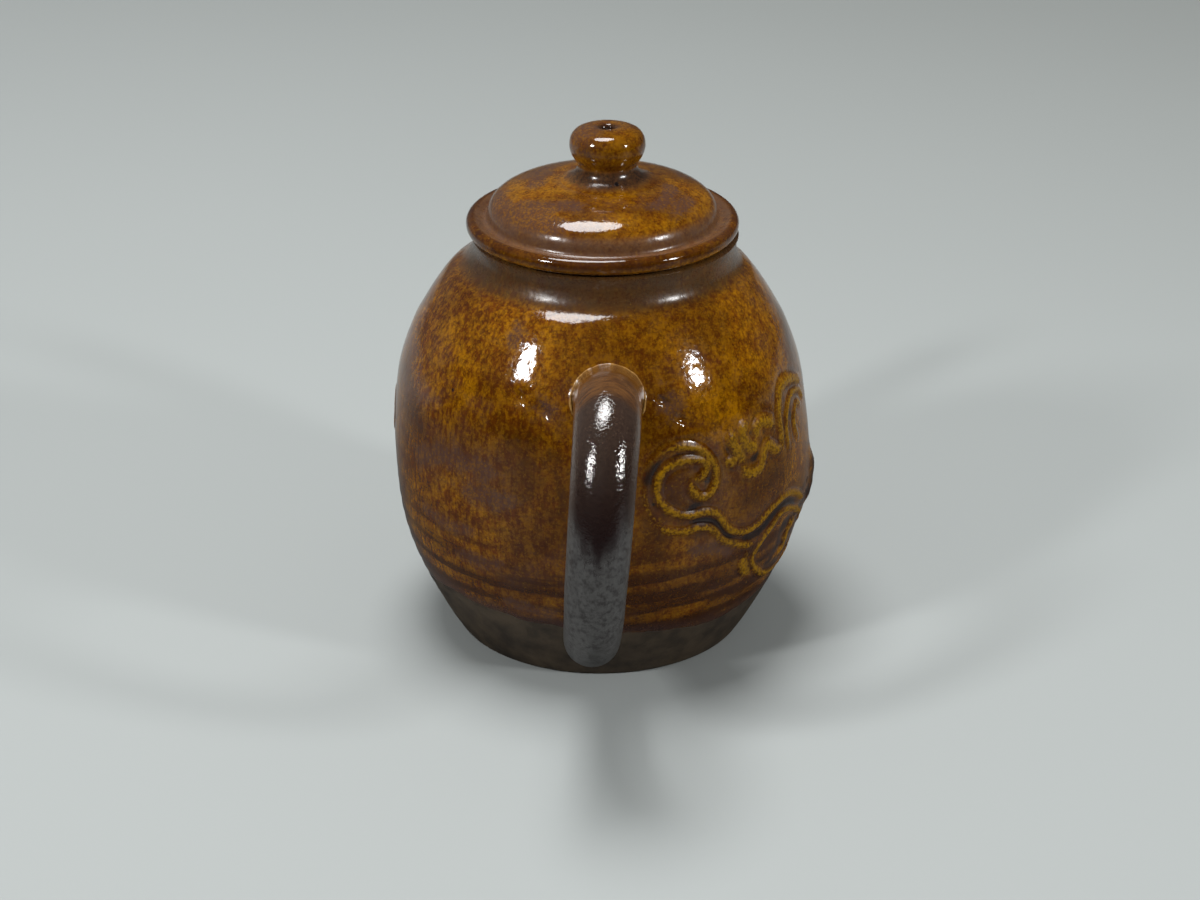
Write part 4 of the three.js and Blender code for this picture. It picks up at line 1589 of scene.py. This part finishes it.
@dataclass
class Studio:
    """The pale table, the dim room, the soft lights and the camera."""

    aim_height: float = 35.99
    distance: float = 537.74
    pitch: float = 25.03
    lens: float = 78.0
    table_colour: tuple = srgb(180, 185, 184)
    # Painted shade for the table's far right corner.
    table_shade: tuple = srgb(142, 145, 141)
    mirrored_dark: tuple = srgb(36, 34, 34)
    room_colour: tuple = (0.9, 0.93, 0.92, 1)
    near_level: float = 0.06
    far_level: float = 0.36
    ceiling_level: float = 0.27
    lamps: tuple = (
        Lamp("overhead_box", "ELLIPSE", (0.1, 0.12, 0.985), 1.1, (0.64, 0.52), 9.6),
        Lamp("left_window", "RECTANGLE", (-0.53, 0.655, 0.55), 1.2, (0.12, 0.18), 4.8),
        Lamp("right_window", "RECTANGLE", (-0.43, -0.8, 0.42), 1.2, (0.13, 0.19), 4.8),
    )

    def hang(self, name: str, data: ID, aim: Vector, away: Vector, reach: float) -> Object:
        """Hangs a lamp or a camera that faces a point.

        Args:
            name: the object's name.
            data: the lamp or the camera.
            aim: the point it faces.
            away: the direction from that point to it.
            reach: how far away it is, in metres.

        Returns:
            The object.
        """
        thing = bpy.data.objects.new(name, data)
        thing.location = aim + away * reach
        thing.rotation_euler = (-away).to_track_quat("-Z", "Y").to_euler()
        bpy.context.scene.collection.objects.link(thing)
        return thing

    def camera(self) -> None:
        """Puts the camera behind the handle, looking down at the pot."""
        data = bpy.data.cameras.new("camera")
        data.lens = self.lens
        data.sensor_width = 36
        data.clip_start = 0.01
        tilt = math.radians(self.pitch)
        away = Vector((-math.cos(tilt), 0, math.sin(tilt)))
        aim = Vector((0, 0, self.aim_height * MM))
        bpy.context.scene.camera = self.hang("camera", data, aim, away, self.distance * MM)

    def light(self, lamp: Lamp) -> None:
        """Lights one soft box.

        Args:
            lamp: the box.
        """
        data = bpy.data.lights.new(lamp.name, "AREA")
        data.shape = lamp.shape
        data.size, data.size_y = lamp.size
        data.energy = lamp.power
        self.hang(lamp.name, data, Vector((0, 0, 0.05)), Vector(lamp.direction).normalized(), lamp.reach)

    def table(self) -> None:
        """Lays the pale table, with painted shade darkening it towards its far right corner. It mirrors dark
        in the glaze, less so far past the pot.
        """
        shape = bmesh.new()
        bmesh.ops.create_grid(shape, x_segments=2, y_segments=2, size=3)
        thing = make_object("table", shape, smooth=False)
        material, shader, sheet = start_material("pale_table")
        place = sheet.place()
        forward, aside, _ = sheet.axes(place)
        darker = tuple(0.95 * part for part in self.table_colour[:3]) + (1.0,)
        pale = sheet.mix(sheet.noise(place, 3, detail=2), self.table_colour, darker)
        # Painted shade: the table darkens towards the far corner on the right, where the light falls off.
        corner = sheet.ramp(sheet.minus(forward, aside), 0.0, 0.9)
        pale = sheet.mix(sheet.times(corner, 0.5), pale, self.table_shade)
        from_pot = sheet.add("ShaderNodeVectorMath", {0: place}, operation="LENGTH").outputs["Value"]
        far = sheet.scaled(sheet.ramp(from_pot, 0.23, 0.33), 0.12, 0.88)
        near = sheet.scaled(sheet.ramp(forward, 0.16, 0.03), 0.75, 0.25)
        mirrored = sheet.times(far, near, sheet.glossy_ray())
        sheet.fill(shader, {"Base Color": sheet.mix(mirrored, pale, self.mirrored_dark), "Roughness": 0.6})
        thing.data.materials.append(material)

    def world(self) -> None:
        """Surrounds the pot with a room that is dark behind the camera and pale elsewhere."""
        world = bpy.data.worlds.new("dim_room")
        bpy.context.scene.world = world
        world.use_nodes = True
        sheet = NodeSheet(world.node_tree)
        east, north, up = sheet.axes(sheet.add("ShaderNodeTexCoord").outputs["Generated"])
        away = sheet.ramp(east, -0.1, 0.5)
        wall = sheet.scaled(away, self.far_level - self.near_level, self.near_level)
        level = sheet.scaled(sheet.ramp(up, 0.15, 0.5), sheet.minus(self.ceiling_level, wall), wall)
        dimmer = sheet.scaled(sheet.ramp(north, -0.3, 0.5), -0.25, 0.85)
        level = sheet.minus(level, sheet.times(level, sheet.glossy_ray(), dimmer))
        background = world.node_tree.nodes["Background"]
        sheet.fill(background, {"Color": self.room_colour, "Strength": level})

    def build(self) -> None:
        """Sets the whole stage."""
        self.camera()
        self.table()
        self.world()
        for lamp in self.lamps:
            self.light(lamp)
        bpy.context.scene.view_settings.view_transform = "Standard"


def main() -> None:
    """Builds the teapot and its stage."""
    logging.basicConfig(level=logging.INFO)
    Studio().build()
    finishes = Finishes()
    pot = ThrownPot(finishes)
    pot.build()
    pot.slip_thread()
    LoopHandle(finishes).build()
    CurvedSpout(finishes).build()
    DomedLid(finishes).build()


if __name__ == "__main__":
    main()
